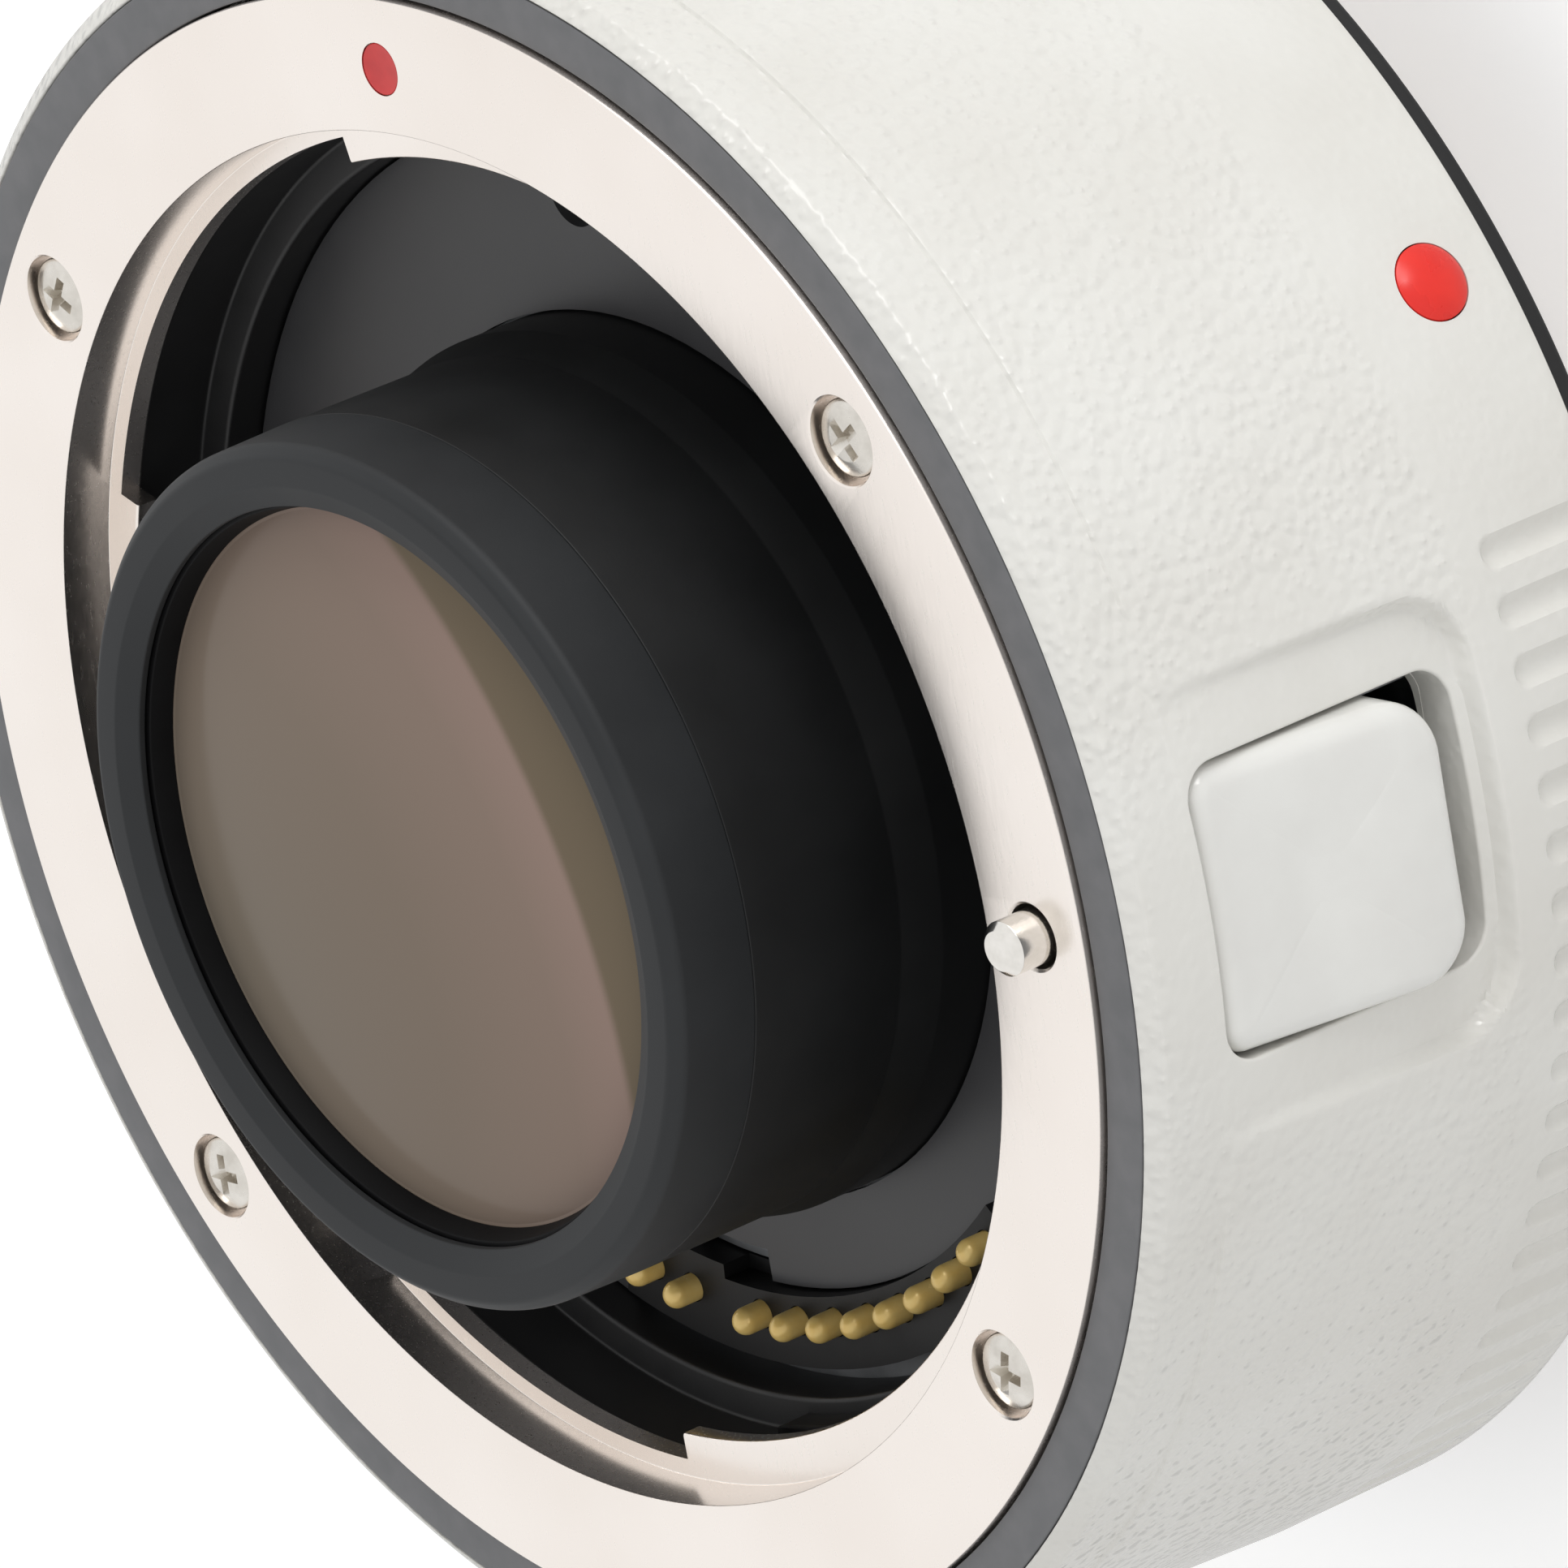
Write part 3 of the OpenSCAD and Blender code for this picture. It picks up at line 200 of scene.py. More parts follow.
steps += [(slot_edge * (1 - math.cos(a)), slot_edge * (1 - math.sin(a))) for a in edge_turns]
for away, drop in steps:
    y = slot_y + (outer_y - slot_y) / span * away
    z = slot_z + (outer_z - slot_z) / span * away
    extra.append(np.stack([np.sqrt(skin_r(y, z) ** 2 - y ** 2) - drop, y, z], 1))
    rings.append(list(range(count, count + len(window))))
    count += len(window)
extra.append(np.stack([np.full(len(window), slot_floor_x), slot_y, slot_z], 1))
rings.append(list(range(count, count + len(window))))
for outer, inner in zip(rings, rings[1:]):
    for i in range(len(window)):
        n = (i + 1) % len(window)
        faces.append((inner[i], outer[i], outer[n], inner[n]))
faces.append(rings[-1])
barrel = meshed("barrel_shell", np.concatenate(extra), faces)

slot_through = round_rect(slot_half - slot_spare, slot_low + slot_spare, slot_high - slot_spare,
                          slot_corner, slot_corner)
slot_ends = [[(x, y, z) for y, z in slot_through] for x in (30.5, 33.5)]
carved(barrel, prism("slot_tool", *slot_ends))


def turned(name, outline, steps=240, span=(0, 360), at=(0, 0)):
    """A closed outline of radius and height turned about an axis along Z, all the way round or over a span."""
    outline = np.asarray(outline, float)
    after = np.roll(outline, -1, 0)
    if (outline[:, 0] * after[:, 1] - after[:, 0] * outline[:, 1]).sum() < 0:
        outline = outline[::-1]
    closed = span[1] - span[0] >= 360
    turns = np.radians(np.linspace(span[0], span[1], steps + 1))[:steps if closed else None]
    ring, many = len(outline), len(turns)
    points = np.array([(at[0] + r * math.cos(a), at[1] + r * math.sin(a), z) for a in turns for r, z in outline])
    faces = []
    for k in range(many if closed else many - 1):
        n = (k + 1) % many
        for i in range(ring):
            j = (i + 1) % ring
            if outline[i, 0] > 0 or outline[j, 0] > 0:
                corners = [k * ring + i, n * ring + i, n * ring + j, k * ring + j]
                if outline[i, 0] == 0:
                    corners = [i, n * ring + j, k * ring + j]
                elif outline[j, 0] == 0:
                    corners = [k * ring + i, n * ring + i, j]
                faces.append(corners)
    if not closed:
        faces += [list(range(ring))[::-1], [(many - 1) * ring + i for i in range(ring)]]
    used = sorted({i for f in faces for i in f})
    place = {old: new for new, old in enumerate(used)}
    return meshed(name, points[used], [[place[i] for i in f] for f in faces])


def around(angle, radius, z, flip=False):
    """A place on the mount: turned to an angle, out to a radius and up to a height, upside down if asked."""
    where = Matrix.Rotation(math.radians(angle), 4, "Z") @ Matrix.Translation((radius * 0.001, 0, z * 0.001))
    return where @ Matrix.Rotation(math.pi, 4, "X") if flip else where


dot_angle, dot_z, dot_seat = 30.0, 5.3, 1.2
dot_place = around(dot_angle, grip_r, dot_z) @ Matrix.Rotation(math.pi / 2, 4, "Y")
dot_tool = turned("dot_tool", [(0, -dot_seat), (1.55, -dot_seat), (1.55, 1), (0, 1)], 64)
dot_tool.data.transform(dot_place)
carved(barrel, dot_tool)


def tone(red, green, blue):
    """A colour as it shows on a screen, 0 to 255, in Blender's linear light."""
    parts = [c / 255 for c in (red, green, blue)]
    return tuple(p / 12.92 if p <= 10 / 255 else ((p + 0.055) / 1.055) ** 2.4 for p in parts) + (1,)


def node(tree, kind, **sockets):
    """A shader node with its sockets set or linked by name."""
    made = tree.nodes.new("ShaderNode" + kind)
    for name, value in sockets.items():
        socket = made.inputs[name.replace("_", " ")]
        if isinstance(value, bpy.types.NodeSocket):
            tree.links.new(value, socket)
        else:
            socket.default_value = value
    return made


def ramp(tree, value, *stops):
    """Colours spread over a value from 0 to 1: stops of position and colour."""
    made = node(tree, "ValToRGB", Fac=value)
    elements = made.color_ramp.elements
    while len(elements) < len(stops):
        elements.new(0.5)
    for element, (position, colour) in zip(elements, stops):
        element.position, element.color = position, colour
    return made.outputs["Color"]


def fresh(name):
    """A new material with its tree, its shader and the piece's own coordinates."""
    material = bpy.data.materials.new(name)
    material.use_nodes = True
    tree = material.node_tree
    return material, tree, tree.nodes["Principled BSDF"], node(tree, "TexCoord").outputs["Object"]


def speckle(tree, where, size, detail=2.0, rough=0.5):
    """Cloudy noise whose lumps are about this many millimetres across."""
    return node(tree, "TexNoise", Vector=where, Scale=1000 / size, Detail=detail, Roughness=rough).outputs["Fac"]


def spread(tree, value, low, high, out_low, out_high):
    """A value carried over from one range to another."""
    moved = node(tree, "MapRange", Value=value, From_Min=low, From_Max=high, To_Min=out_low, To_Max=out_high)
    return moved.outputs["Result"]


def finish(name, dark, light, rough, metal=0.0, cloud=4.0, grain=0.12, bump=0.004, **sockets):
    """A finish of two close shades in soft clouds, a drifting roughness and a fine grain in its surface."""
    material, tree, shader, where = fresh(name)
    clouds = speckle(tree, where, cloud, 4)
    tree.links.new(ramp(tree, clouds, (0.3, tone(*dark)), (0.7, tone(*light))), shader.inputs["Base Color"])
    tree.links.new(spread(tree, clouds, 0.25, 0.75, *rough), shader.inputs["Roughness"])
    grained = node(tree, "Bump", Height=speckle(tree, where, grain, 3), Strength=1.0, Distance=bump * 0.001)
    tree.links.new(grained.outputs["Normal"], shader.inputs["Normal"])
    shader.inputs["Metallic"].default_value = metal
    for socket, value in sockets.items():
        shader.inputs[socket.replace("_", " ")].default_value = value
    return material


def seated(piece, material, body, slot, *stands_for):
    """Gives a piece its finish and its body and hides the solids it stands for. The slot is not used."""
    piece.data.materials.clear()
    piece.data.materials.append(material)
    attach(piece, body)
    if stands_for:
        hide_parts(*stands_for)
    return piece


# The enamel's pebbles are weaker on the grip band and fade out towards the lever. Texture nodes count in metres.
lever_middle = (0.0355, 0, 0.017)
enamel, tree, shader, where = fresh("barrel_enamel")
height = node(tree, "SeparateXYZ", Vector=where).outputs["Z"]
by_lever = node(tree, "VectorMath", Vector=where)
by_lever.operation = "DISTANCE"
by_lever.inputs[1].default_value = lever_middle
pebbles = node(tree, "Math", Value=spread(tree, height, 0.0092, 0.0098, 0.3, 1.0))
pebbles.operation = "MULTIPLY"
tree.links.new(spread(tree, by_lever.outputs["Value"], 0.0085, 0.0115, 0.25, 1.0), pebbles.inputs[1])
pebbled = pebbles.outputs["Value"]
lumps = node(tree, "TexVoronoi", Vector=where, Scale=2200.0)
lumps.feature = "SMOOTH_F1"
peel = node(tree, "Bump", Height=lumps.outputs["Distance"], Strength=pebbled, Distance=-0.00013)
rolls = node(tree, "Bump", Height=speckle(tree, where, 0.9, 2), Strength=pebbled, Distance=0.00006,
             Normal=peel.outputs["Normal"])
tree.links.new(rolls.outputs["Normal"], shader.inputs["Normal"])
clouds = speckle(tree, where, 9.0, 4)
shade = ramp(tree, clouds, (0.3, tone(219, 217, 211)), (0.7, tone(226, 225, 220)))
tree.links.new(shade, shader.inputs["Base Color"])
tree.links.new(spread(tree, clouds, 0.25, 0.75, 0.15, 0.23), shader.inputs["Roughness"])
seated(barrel, enamel, "housing", "barrel_paint", "outer_barrel")


# Domed index on the barrel
# A drop of red plastic that lines up with the camera's own mark. It is pressed into a blind hole in the grip band.

dot_r, dot_rise = 1.5, 0.45
bulge = (dot_r ** 2 + dot_rise ** 2) / (2 * dot_rise)
crown = [(r, dot_rise - bulge + math.sqrt(bulge ** 2 - r ** 2)) for r in np.linspace(0, dot_r - 0.06, 12)]
dot_low = 0.02 - dot_seat
dot_root = [(dot_r - 0.01, 0.0), (dot_r, -0.08), (dot_r, dot_low), (0, dot_low)]
barrel_dot = turned("barrel_index", crown + dot_root, 72)
barrel_dot.data.transform(dot_place)
red = finish("index_red", (222, 32, 22), (234, 42, 28), (0.24, 0.32), cloud=2.0, grain=0.3, bump=0.002)
seated(barrel_dot, red, "housing", "index_red", "barrel_index_dot")


# Trim ring
# A flat ring of dark grey anodised aluminium that closes the gap between the mount and the barrel's rim.
# It is turned, eased at its edges and glued into its seat.

def eased(outline, radius, steps=4):
    """The outline with each corner turned into a small arc, of one radius or of a radius each."""
    corners = np.asarray(outline, float)
    eased_outline = []
    for i, (here, r) in enumerate(zip(corners, np.broadcast_to(radius, len(corners)))):
        back, on = corners[i - 1] - here, corners[(i + 1) % len(corners)] - here
        back_l, on_l = np.linalg.norm(back), np.linalg.norm(on)
        half = math.acos(np.clip(back @ on / back_l / on_l, -1, 1)) / 2
        cut = min(r / math.tan(half), 0.45 * back_l, 0.45 * on_l)
        for t in np.linspace(0, 1, steps + 1):
            eased_outline.append(here + back / back_l * cut * (1 - t) ** 2 + on / on_l * cut * t ** 2)
    return np.array(eased_outline)


trim = turned("trim_ring", eased([(32.3, 25.35), (34.15, 25.35), (34.15, 26.85), (32.3, 26.85)], 0.07), 360)
trim_grey = finish("trim_anodised", (98, 99, 101), (110, 110, 112), (0.42, 0.52), cloud=1.2, grain=0.05, bump=0.002)
seated(trim, trim_grey, "housing", "trim_grey", "front_trim_ring")


# Lens-side mount ring
# Chromed brass, turned in one piece with three claws that a lens's lugs turn under. Four screws hold it to the
# inner frame through counterbores. The lock pin rises through its one plain hole.

face_z, claw_z, claw_low, mount_low = 27.2, 24.95, 24.05, 24.4
throat_r, claw_r, ledge_r, mount_r = 27.0, 25.25, 26.3, 32.2
claws = ((38, 103.5), (159.5, 225.5), (271, 334))
screw_r, mount_screws = 29.5, (37.5, -37.5, 142.5, 217.5)
mount = turned("lens_mount", eased(
    [(claw_r, claw_low), (throat_r, claw_low), (throat_r, mount_low), (mount_r, mount_low), (mount_r, face_z),
     (throat_r, face_z), (throat_r, claw_z), (claw_r, claw_z)], [0.12, 0.05, 0.05, 0.08, 0.2, 0.08, 0.05, 0.14]), 420)
gaps, gap_top = ((103.5, 159.5), (232.1, 271), (334, 398)), claw_z + 0.15
for gap in gaps:
    carved(mount, turned("gap_tool", [(23, 23), (ledge_r, 23), (ledge_r, gap_top), (23, gap_top)], 90, gap))
notch, notch_r, notch_top = (225.5, 233), 27.15, claw_z + 0.17
notch_outline = [(23, 22.9), (notch_r, 22.9), (notch_r, notch_top), (23, notch_top)]
carved(mount, turned("notch_tool", notch_outline, 24, notch))


def plan_spot(angle, radius):
    """A place on a circle round the mount's axis."""
    return radius * math.cos(math.radians(angle)), radius * math.sin(math.radians(angle))


bore_r, bore_edge, shank_hole_r = 1.7, 0.07, 1.0
mount_bore = [(0, 23), (shank_hole_r, 23), (shank_hole_r, 26.25), (bore_r, 26.25), (bore_r, face_z - bore_edge),
              (bore_r + bore_edge, face_z), (bore_r + bore_edge, 28), (0, 28)]
for angle in mount_screws:
    carved(mount, turned("bore_tool", mount_bore, 48, at=plan_spot(angle, screw_r)))
pin_hole = [(0, 23), (1.25, 23), (1.25, face_z - 0.1), (1.35, face_z), (1.35, 28), (0, 28)]
carved(mount, turned("pin_hole_tool", pin_hole, 48, at=(screw_r, 0)))
dot_hole = [(0, 26.9), (1.03, 26.9), (1.03, 28), (0, 28)]
carved(mount, turned("dot_hole_tool", dot_hole, 48, at=(0, screw_r)))

chrome, tree, shader, where = fresh("mount_chrome")
brushed = node(tree, "Mapping", Vector=where, Scale=(1.0, 0.12, 1.0), Rotation=(0, 0, math.radians(40)))
strokes = speckle(tree, brushed.outputs["Vector"], 0.12, 3)
clouds = speckle(tree, where, 9.0, 2)
shade = ramp(tree, clouds, (0.3, tone(239, 231, 224)), (0.7, tone(244, 237, 231)))
tree.links.new(shade, shader.inputs["Base Color"])
tree.links.new(spread(tree, strokes, 0.3, 0.7, 0.22, 0.28), shader.inputs["Roughness"])
scored = node(tree, "Bump", Height=strokes, Strength=0.3, Distance=0.0000003)
tree.links.new(scored.outputs["Normal"], shader.inputs["Normal"])
shader.inputs["Metallic"].default_value = 1.0
seated(mount, chrome, "housing", "mount_steel", "lens_mount_ring")


# Mount screws
# Four pan-head cross screws of bright steel, sunk just below the mount face in their counterbores.

def cross_screw(name, head_r, head_h, shank_r, shank_l, crown=0.12):
    """A cross-recessed screw with the top of its head at the origin and its shank pointing down."""
    tip = -head_h - shank_l
    screw = turned(name, eased(
        [(0, tip), (shank_r - 0.15, tip), (shank_r, tip + 0.2), (shank_r, -head_h), (head_r, -head_h),
         (head_r, -crown - 0.1), (head_r * 0.55, -0.015), (0, 0)],
        [0, 0.05, 0.05, 0.03, 0.06, 0.2, 0.3, 0]), 48)
    arm, width = head_r * 0.6, head_r * 0.15
    plus = [(width, -arm), (width, -width), (arm, -width), (arm, width), (width, width), (width, arm),
            (-width, arm), (-width, width), (-arm, width), (-arm, -width), (-width, -width), (-width, -arm)]
    ends = [[(x * s, y * s, z) for x, y in plus] for s, z in ((0.5, -head_h * 0.62), (1.06, 0.1))]
    return carved(screw, prism("cross_tool", *ends))


def copied(name, first, places):
    """One piece with the first one's shape at each place."""
    many = len(first.data.vertices)
    faces = [tuple(p.vertices) for p in first.data.polygons]
    points, every = [], []
    for k, place in enumerate(places):
        points += [(place @ v.co) * 1000 for v in first.data.vertices]
        every += [tuple(i + k * many for i in f) for f in faces]
    bpy.data.objects.remove(first)
    return meshed(name, points, every)


def screwed_in(name, angles, z, flip=False):
    """Four mount screws with their heads at one height, each stopped at its own turn."""
    stops = (0, 24, 8, 51)
    places = [around(a, screw_r, z, flip) @ Matrix.Rotation(math.radians(s), 4, "Z") for a, s in zip(angles, stops)]
    return copied(name, cross_screw("screw", 1.5, 0.8, 0.95, 6.0), places)


screw_sink = 0.15
lens_screws = screwed_in("lens_mount_screw_set", mount_screws, face_z - screw_sink)
screw_steel = finish("screw_steel", (205, 200, 192), (226, 222, 215), (0.2, 0.32), metal=1.0,
                     cloud=0.8, grain=0.08, bump=0.002)
seated(lens_screws, screw_steel, "housing", "screw_steel", "lens_mount_screws")


# Red index of the mount
# A shallow round pocket in the mount face, filled with red enamel that dries a little hollow.

enamel_pool = [(0, 27.15), (0.6, 27.155), (0.85, 27.17), (0.97, 27.18), (1.0, 27.14), (1.0, 26.92), (0, 26.92)]
mount_dot = turned("mount_index", enamel_pool, 64, at=(0, screw_r))
dull_red = finish("index_enamel", (196, 40, 42), (214, 54, 54), (0.3, 0.42), cloud=1.0, grain=0.2, bump=0.003)
seated(mount_dot, dull_red, "housing", "index_red", "mount_index_dot")


# Throat lining and bayonet springs
# A black moulded sleeve under the mount ring, with a ledge round its foot. Three spring-steel leaves lie on pads
# of the sleeve and press the lens's lugs up against the claws.

def dressed(material, *names):
    """Gives solids that keep their own shape a finish."""
    for name in names:
        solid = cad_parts[name]
        solid.data.materials.clear()
        solid.data.materials.append(material)


lining = turned("throat_sleeve", eased(
    [(25.0, 18.6), (27.5, 18.6), (27.5, 23.95), (26.4, 23.95), (26.4, 20.9), (25.0, 20.9)],
    [0.05, 0.1, 0.1, 0.1, 0.15, 0.2]), 300)
pad, pad_inset = eased([(25.6, 20.6), (26.6, 20.6), (26.6, 22.25), (25.6, 22.25)], [0.02, 0.02, 0.02, 0.1]), 6
for start, end in claws:
    carved(lining, turned("pad", pad, 90, (start + pad_inset, end - pad_inset)), "UNION")
sleeve_black = finish("sleeve_black", (17, 17, 18), (25, 25, 26), (0.42, 0.55), cloud=3.0, grain=0.15, bump=0.004)
seated(lining, sleeve_black, "housing", "black_plastic", "throat_lining")
leaf_steel = finish("leaf_steel", (60, 60, 62), (84, 84, 86), (0.35, 0.45), metal=1.0,
                    cloud=1.5, grain=0.1, bump=0.002)
dressed(leaf_steel, "bayonet_springs")


# Cover plate
# A stamped plate under satin black paint that closes the mechanism round the lens cell, held by three small screws.

plate_black = finish("plate_satin", (60, 60, 62), (67, 67, 69), (0.36, 0.44), cloud=6.0, grain=0.1, bump=0.003)
dressed(plate_black, "front_cover_plate")
dark_screw = finish("screw_blackened", (30, 30, 31), (44, 44, 46), (0.35, 0.5), metal=0.6,
                    cloud=0.7, grain=0.08, bump=0.002)
dressed(dark_screw, "cover_screws")


# Contacts of the lens side
# Ten gold-plated pins in a black moulded block, in a group of eight and a pair. Each slides in its own bore on a
# small coil spring that stands on the circuit board.

block_black = finish("block_black", (14, 14, 15), (20, 20, 21), (0.45, 0.55), cloud=3.0, grain=0.15, bump=0.004,
                     Specular_IOR_Level=0.35)
dressed(block_black, "front_contact_block")
pin_r, pin_top, pin_half, flange_half, flange_top, flange_low = 22.3, 21.25, 0.55, 0.8, 18.6, 18.2
pin_angles = [-49.8 - 5.77 * i for i in range(8)] + [-100.7, -106.47]
gold = finish("gold_plate", (250, 212, 124), (254, 222, 142), (0.2, 0.28), metal=0.1,
              cloud=0.5, grain=0.06, bump=0.002)
spring_steel = finish("spring_steel", (150, 148, 144), (176, 174, 170), (0.25, 0.35), metal=1.0,
                      cloud=0.5, grain=0.05, bump=0.001)


def coil(name, centre, low, high, radius, wire, turns, sides=8, steps=24):
    """A wound spring of round wire between two heights, with closed ends."""
    many = int(turns * steps)
    points, faces = [], []
    for k in range(many + 1):
        a = 2 * math.pi * turns * k / many
        z = low + wire / 2 + (high - low - wire) * k / many
        for s in range(sides):
            b = 2 * math.pi * s / sides
            r = radius + wire / 2 * math.cos(b)
            points.append((centre[0] + r * math.cos(a), centre[1] + r * math.sin(a), z + wire / 2 * math.sin(b)))
    for k in range(many):
        for s in range(sides):
            n = (s + 1) % sides
            faces.append((k * sides + s, (k + 1) * sides + s, (k + 1) * sides + n, k * sides + n))
    faces += [tuple(range(sides)), tuple(many * sides + s for s in range(sides))[::-1]]
    return meshed(name, points, faces)


spring_low, spring_high, pin_travel = 15.0, 18.2, 0.8
pin_tip = [(pin_half * math.sin(a), pin_top - pin_half + pin_half * math.cos(a))
           for a in np.radians(np.linspace(0, 90, 9))]
pin_foot = [(pin_half, flange_top), (flange_half, flange_top), (flange_half, flange_low), (0, flange_low)]
for i, angle in enumerate(pin_angles, 1):
    spot = plan_spot(angle, pin_r)
    pin = turned(f"gold_pin_{i}", pin_tip + pin_foot, 36, at=spot)
    seated(pin, gold, f"contact_pin_{i}", "gold_plate", f"contact_pin_{i}")
    small_coil = coil(f"pin_coil_{i}", spot, spring_low, spring_high - 0.02, 0.66, 0.2, 7)
    seated(small_coil, spring_steel, "housing", "spring_steel", "contact_springs")
    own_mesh(small_coil)


# Inner frame and electronics
# A cast aluminium frame and a rear plate carry everything else. The ring-shaped circuit board hangs under the web
# on three screws, and a flexible ribbon joins it to the rear contacts.

alloy = finish("cast_alloy", (112, 114, 116), (138, 140, 142), (0.45, 0.6), metal=0.9,
               cloud=2.0, grain=0.2, bump=0.01)
dressed(alloy, "core_frame", "rear_frame")
board_green = finish("board_green", (18, 62, 38), (28, 78, 48), (0.35, 0.5), cloud=1.5, grain=0.3, bump=0.004)
dressed(board_green, "main_board")
chip_black = finish("chip_black", (26, 26, 27), (40, 40, 41), (0.5, 0.65), cloud=1.0, grain=0.1, bump=0.003)
dressed(chip_black, "board_chips")
dressed(screw_steel, "board_screws")
ribbon_amber = finish("ribbon_amber", (168, 96, 30), (196, 120, 44), (0.3, 0.4), cloud=2.0, grain=0.3, bump=0.002)
dressed(ribbon_amber, "flex_ribbon")


# Lens cell and hood
# The cell is a turned tube with a matt black coat that carries all the glass. A soft-coated moulded hood snaps over
# its front, so a fine seam runs round the tube, and its rolled lip guards the front glass.

cell = turned("lens_tube", eased(
    [(12.55, -1.03), (16.2, -1.03), (16.2, 18.6), (17.5, 18.6), (17.5, 21.5), (17.05, 23.2),
     (17.05, 30.25), (15.7, 30.25), (15.7, 33.2), (14.75, 33.2), (14.75, 21.53), (13.45, 21.53),
     (13.45, 9.0), (11.5, 9.0), (11.5, 8.0), (12.55, 8.0)],
    [0.1, 0.2, 0.05, 0.05, 0.6, 0.6, 0.07, 0.05, 0.05, 0.05, 0.05, 0.05, 0.05, 0.05, 0.05, 0.05]), 320)
cell_black = finish("cell_matt", (15, 16, 17), (21, 22, 23), (0.5, 0.6), cloud=5.0, grain=0.1, bump=0.003,
                    Specular_IOR_Level=0.35)
seated(cell, cell_black, "housing", "cell_black", "lens_cell")
hood = turned("hood", eased(
    [(15.8, 30.25), (17.05, 30.25), (16.96, 33.55), (16.5, 34.0), (15.4, 34.0), (14.5, 33.55),
     (14.5, 33.25), (15.8, 33.25)],
    [0.05, 0.07, 0.55, 0.4, 0.25, 0.12, 0.05, 0.05], 6), 320)
hood_black = finish("hood_soft_coat", (29, 31, 33), (36, 38, 40), (0.52, 0.62), cloud=5.0, grain=0.08, bump=0.003,
                    Specular_IOR_Level=0.35)
seated(hood, hood_black, "housing", "hood_black", "front_hood")
front_ring = turned("front_ring", eased(
    [(14.1, 32.2), (14.7, 32.2), (14.7, 33.15), (14.35, 33.15)], [0.05, 0.03, 0.05, 0.08]), 240)
ring_black = finish("ring_black", (9, 9, 10), (14, 14, 15), (0.5, 0.62), cloud=2.0, grain=0.1, bump=0.003,
                    Specular_IOR_Level=0.1)
seated(front_ring, ring_black, "housing", "cell_black", "front_retaining_ring")
dressed(ring_black, "lens_spacer", "rear_retaining_ring", "cell_lock_ring")


# Glass
# Seven ground elements in three cemented groups. The front element is opaque and carries a painted reflection, a
# brown and rose tint with an olive crescent along one side, in place of what its coatings throw back. From behind
# they look dark, with a green sheen.

glass_painted_reflection, tree, shader, where = fresh("coated_glass")
# Painted reflection: brown, then a lighter rose band, then a sharp olive crescent, by distance from a point off the
# axis; a low specular keeps the surround from reflecting on top.
reflection_centre_shift, reflection_reach = (0.0123, 0.0051, 0), 0.03
flattened = node(tree, "Mapping", Vector=where, Location=reflection_centre_shift, Scale=(1, 1, 0))
reach = node(tree, "VectorMath", Vector=flattened.outputs["Vector"])
reach.operation = "LENGTH"
painted_reflection = ramp(tree, spread(tree, reach.outputs["Value"], 0.0, reflection_reach, 0.0, 1.0),
            (0.0, tone(122, 113, 101)), (0.45, tone(128, 115, 103)), (0.68, tone(138, 121, 110)),
            (0.772, tone(150, 129, 119)), (0.786, tone(115, 103, 86)), (1.0, tone(110, 99, 82)))
tree.links.new(painted_reflection, shader.inputs["Base Color"])
tree.links.new(spread(tree, speckle(tree, where, 8.0, 2), 0.3, 0.7, 0.12, 0.2), shader.inputs["Roughness"])
shader.inputs["Specular IOR Level"].default_value = 0.06
dressed(glass_painted_reflection, "lens_element_1")
deep_glass, tree, shader, where = fresh("deep_glass")
film = speckle(tree, where, 6.0, 3)
tree.links.new(ramp(tree, film, (0.3, tone(16, 20, 24)), (0.7, tone(24, 28, 30))), shader.inputs["Base Color"])
tree.links.new(spread(tree, film, 0.3, 0.7, 0.02, 0.05), shader.inputs["Roughness"])
shader.inputs["Coat Weight"].default_value = 1.0
shader.inputs["Coat Tint"].default_value = tone(190, 225, 205)
dressed(deep_glass, *(f"lens_element_{i}" for i in range(2, 8)))


# Camera-side bayonet
# One chromed turning: a flange with four counterbored screws and the camera's lock hole, a short tube, and three
# lugs that turn under the camera's claws.

rear_mount = turned("rear_bayonet", eased(
    [(23.05, -5.4), (24.85, -5.4), (24.85, 0), (32.5, 0), (32.5, 1.7), (22.35, 1.7), (22.35, -1.2), (23.05, -1.2)],
    [0.12, 0.15, 0.1, 0.15, 0.05, 0.05, 0.05, 0.05]), 360)
lug = eased([(24.3, -4.65), (25.9, -4.65), (25.9, -3.25), (24.3, -3.25)], [0.02, 0.25, 0.12, 0.02])
for lug_span in ((43, 95), (168, 212), (277, 331)):
    carved(rear_mount, turned("lug", lug, 72, lug_span), "UNION")
rear_screws = (45, 135, 225, 315)
rear_bore = [(0, 2), (shank_hole_r, 2), (shank_hole_r, 0.95), (bore_r, 0.95), (bore_r, bore_edge),
             (bore_r + bore_edge, 0), (bore_r + bore_edge, -1), (0, -1)]
for angle in rear_screws:
    carved(rear_mount, turned("bore_tool", rear_bore, 48, at=plan_spot(angle, screw_r)))
lock_hole = [(0, 2), (1.4, 2), (1.4, 0.1), (1.5, 0), (1.5, -1), (0, -1)]
carved(rear_mount, turned("lock_hole_tool", lock_hole, 48, at=(screw_r, 0)))
seated(rear_mount, chrome, "housing", "mount_steel", "rear_mount_ring", "rear_bayonet_tube", "rear_bayonet_lugs")
flange_screws = screwed_in("rear_mount_screw_set", rear_screws, screw_sink, flip=True)
seated(flange_screws, screw_steel, "housing", "screw_steel", "rear_mount_screws")


# Rear gasket, light shield and contacts
# A black rubber gasket seals the joint to the camera. A moulded shield lines the bayonet and keeps stray light off
# the sensor, with a block of flush gold pads let into it.

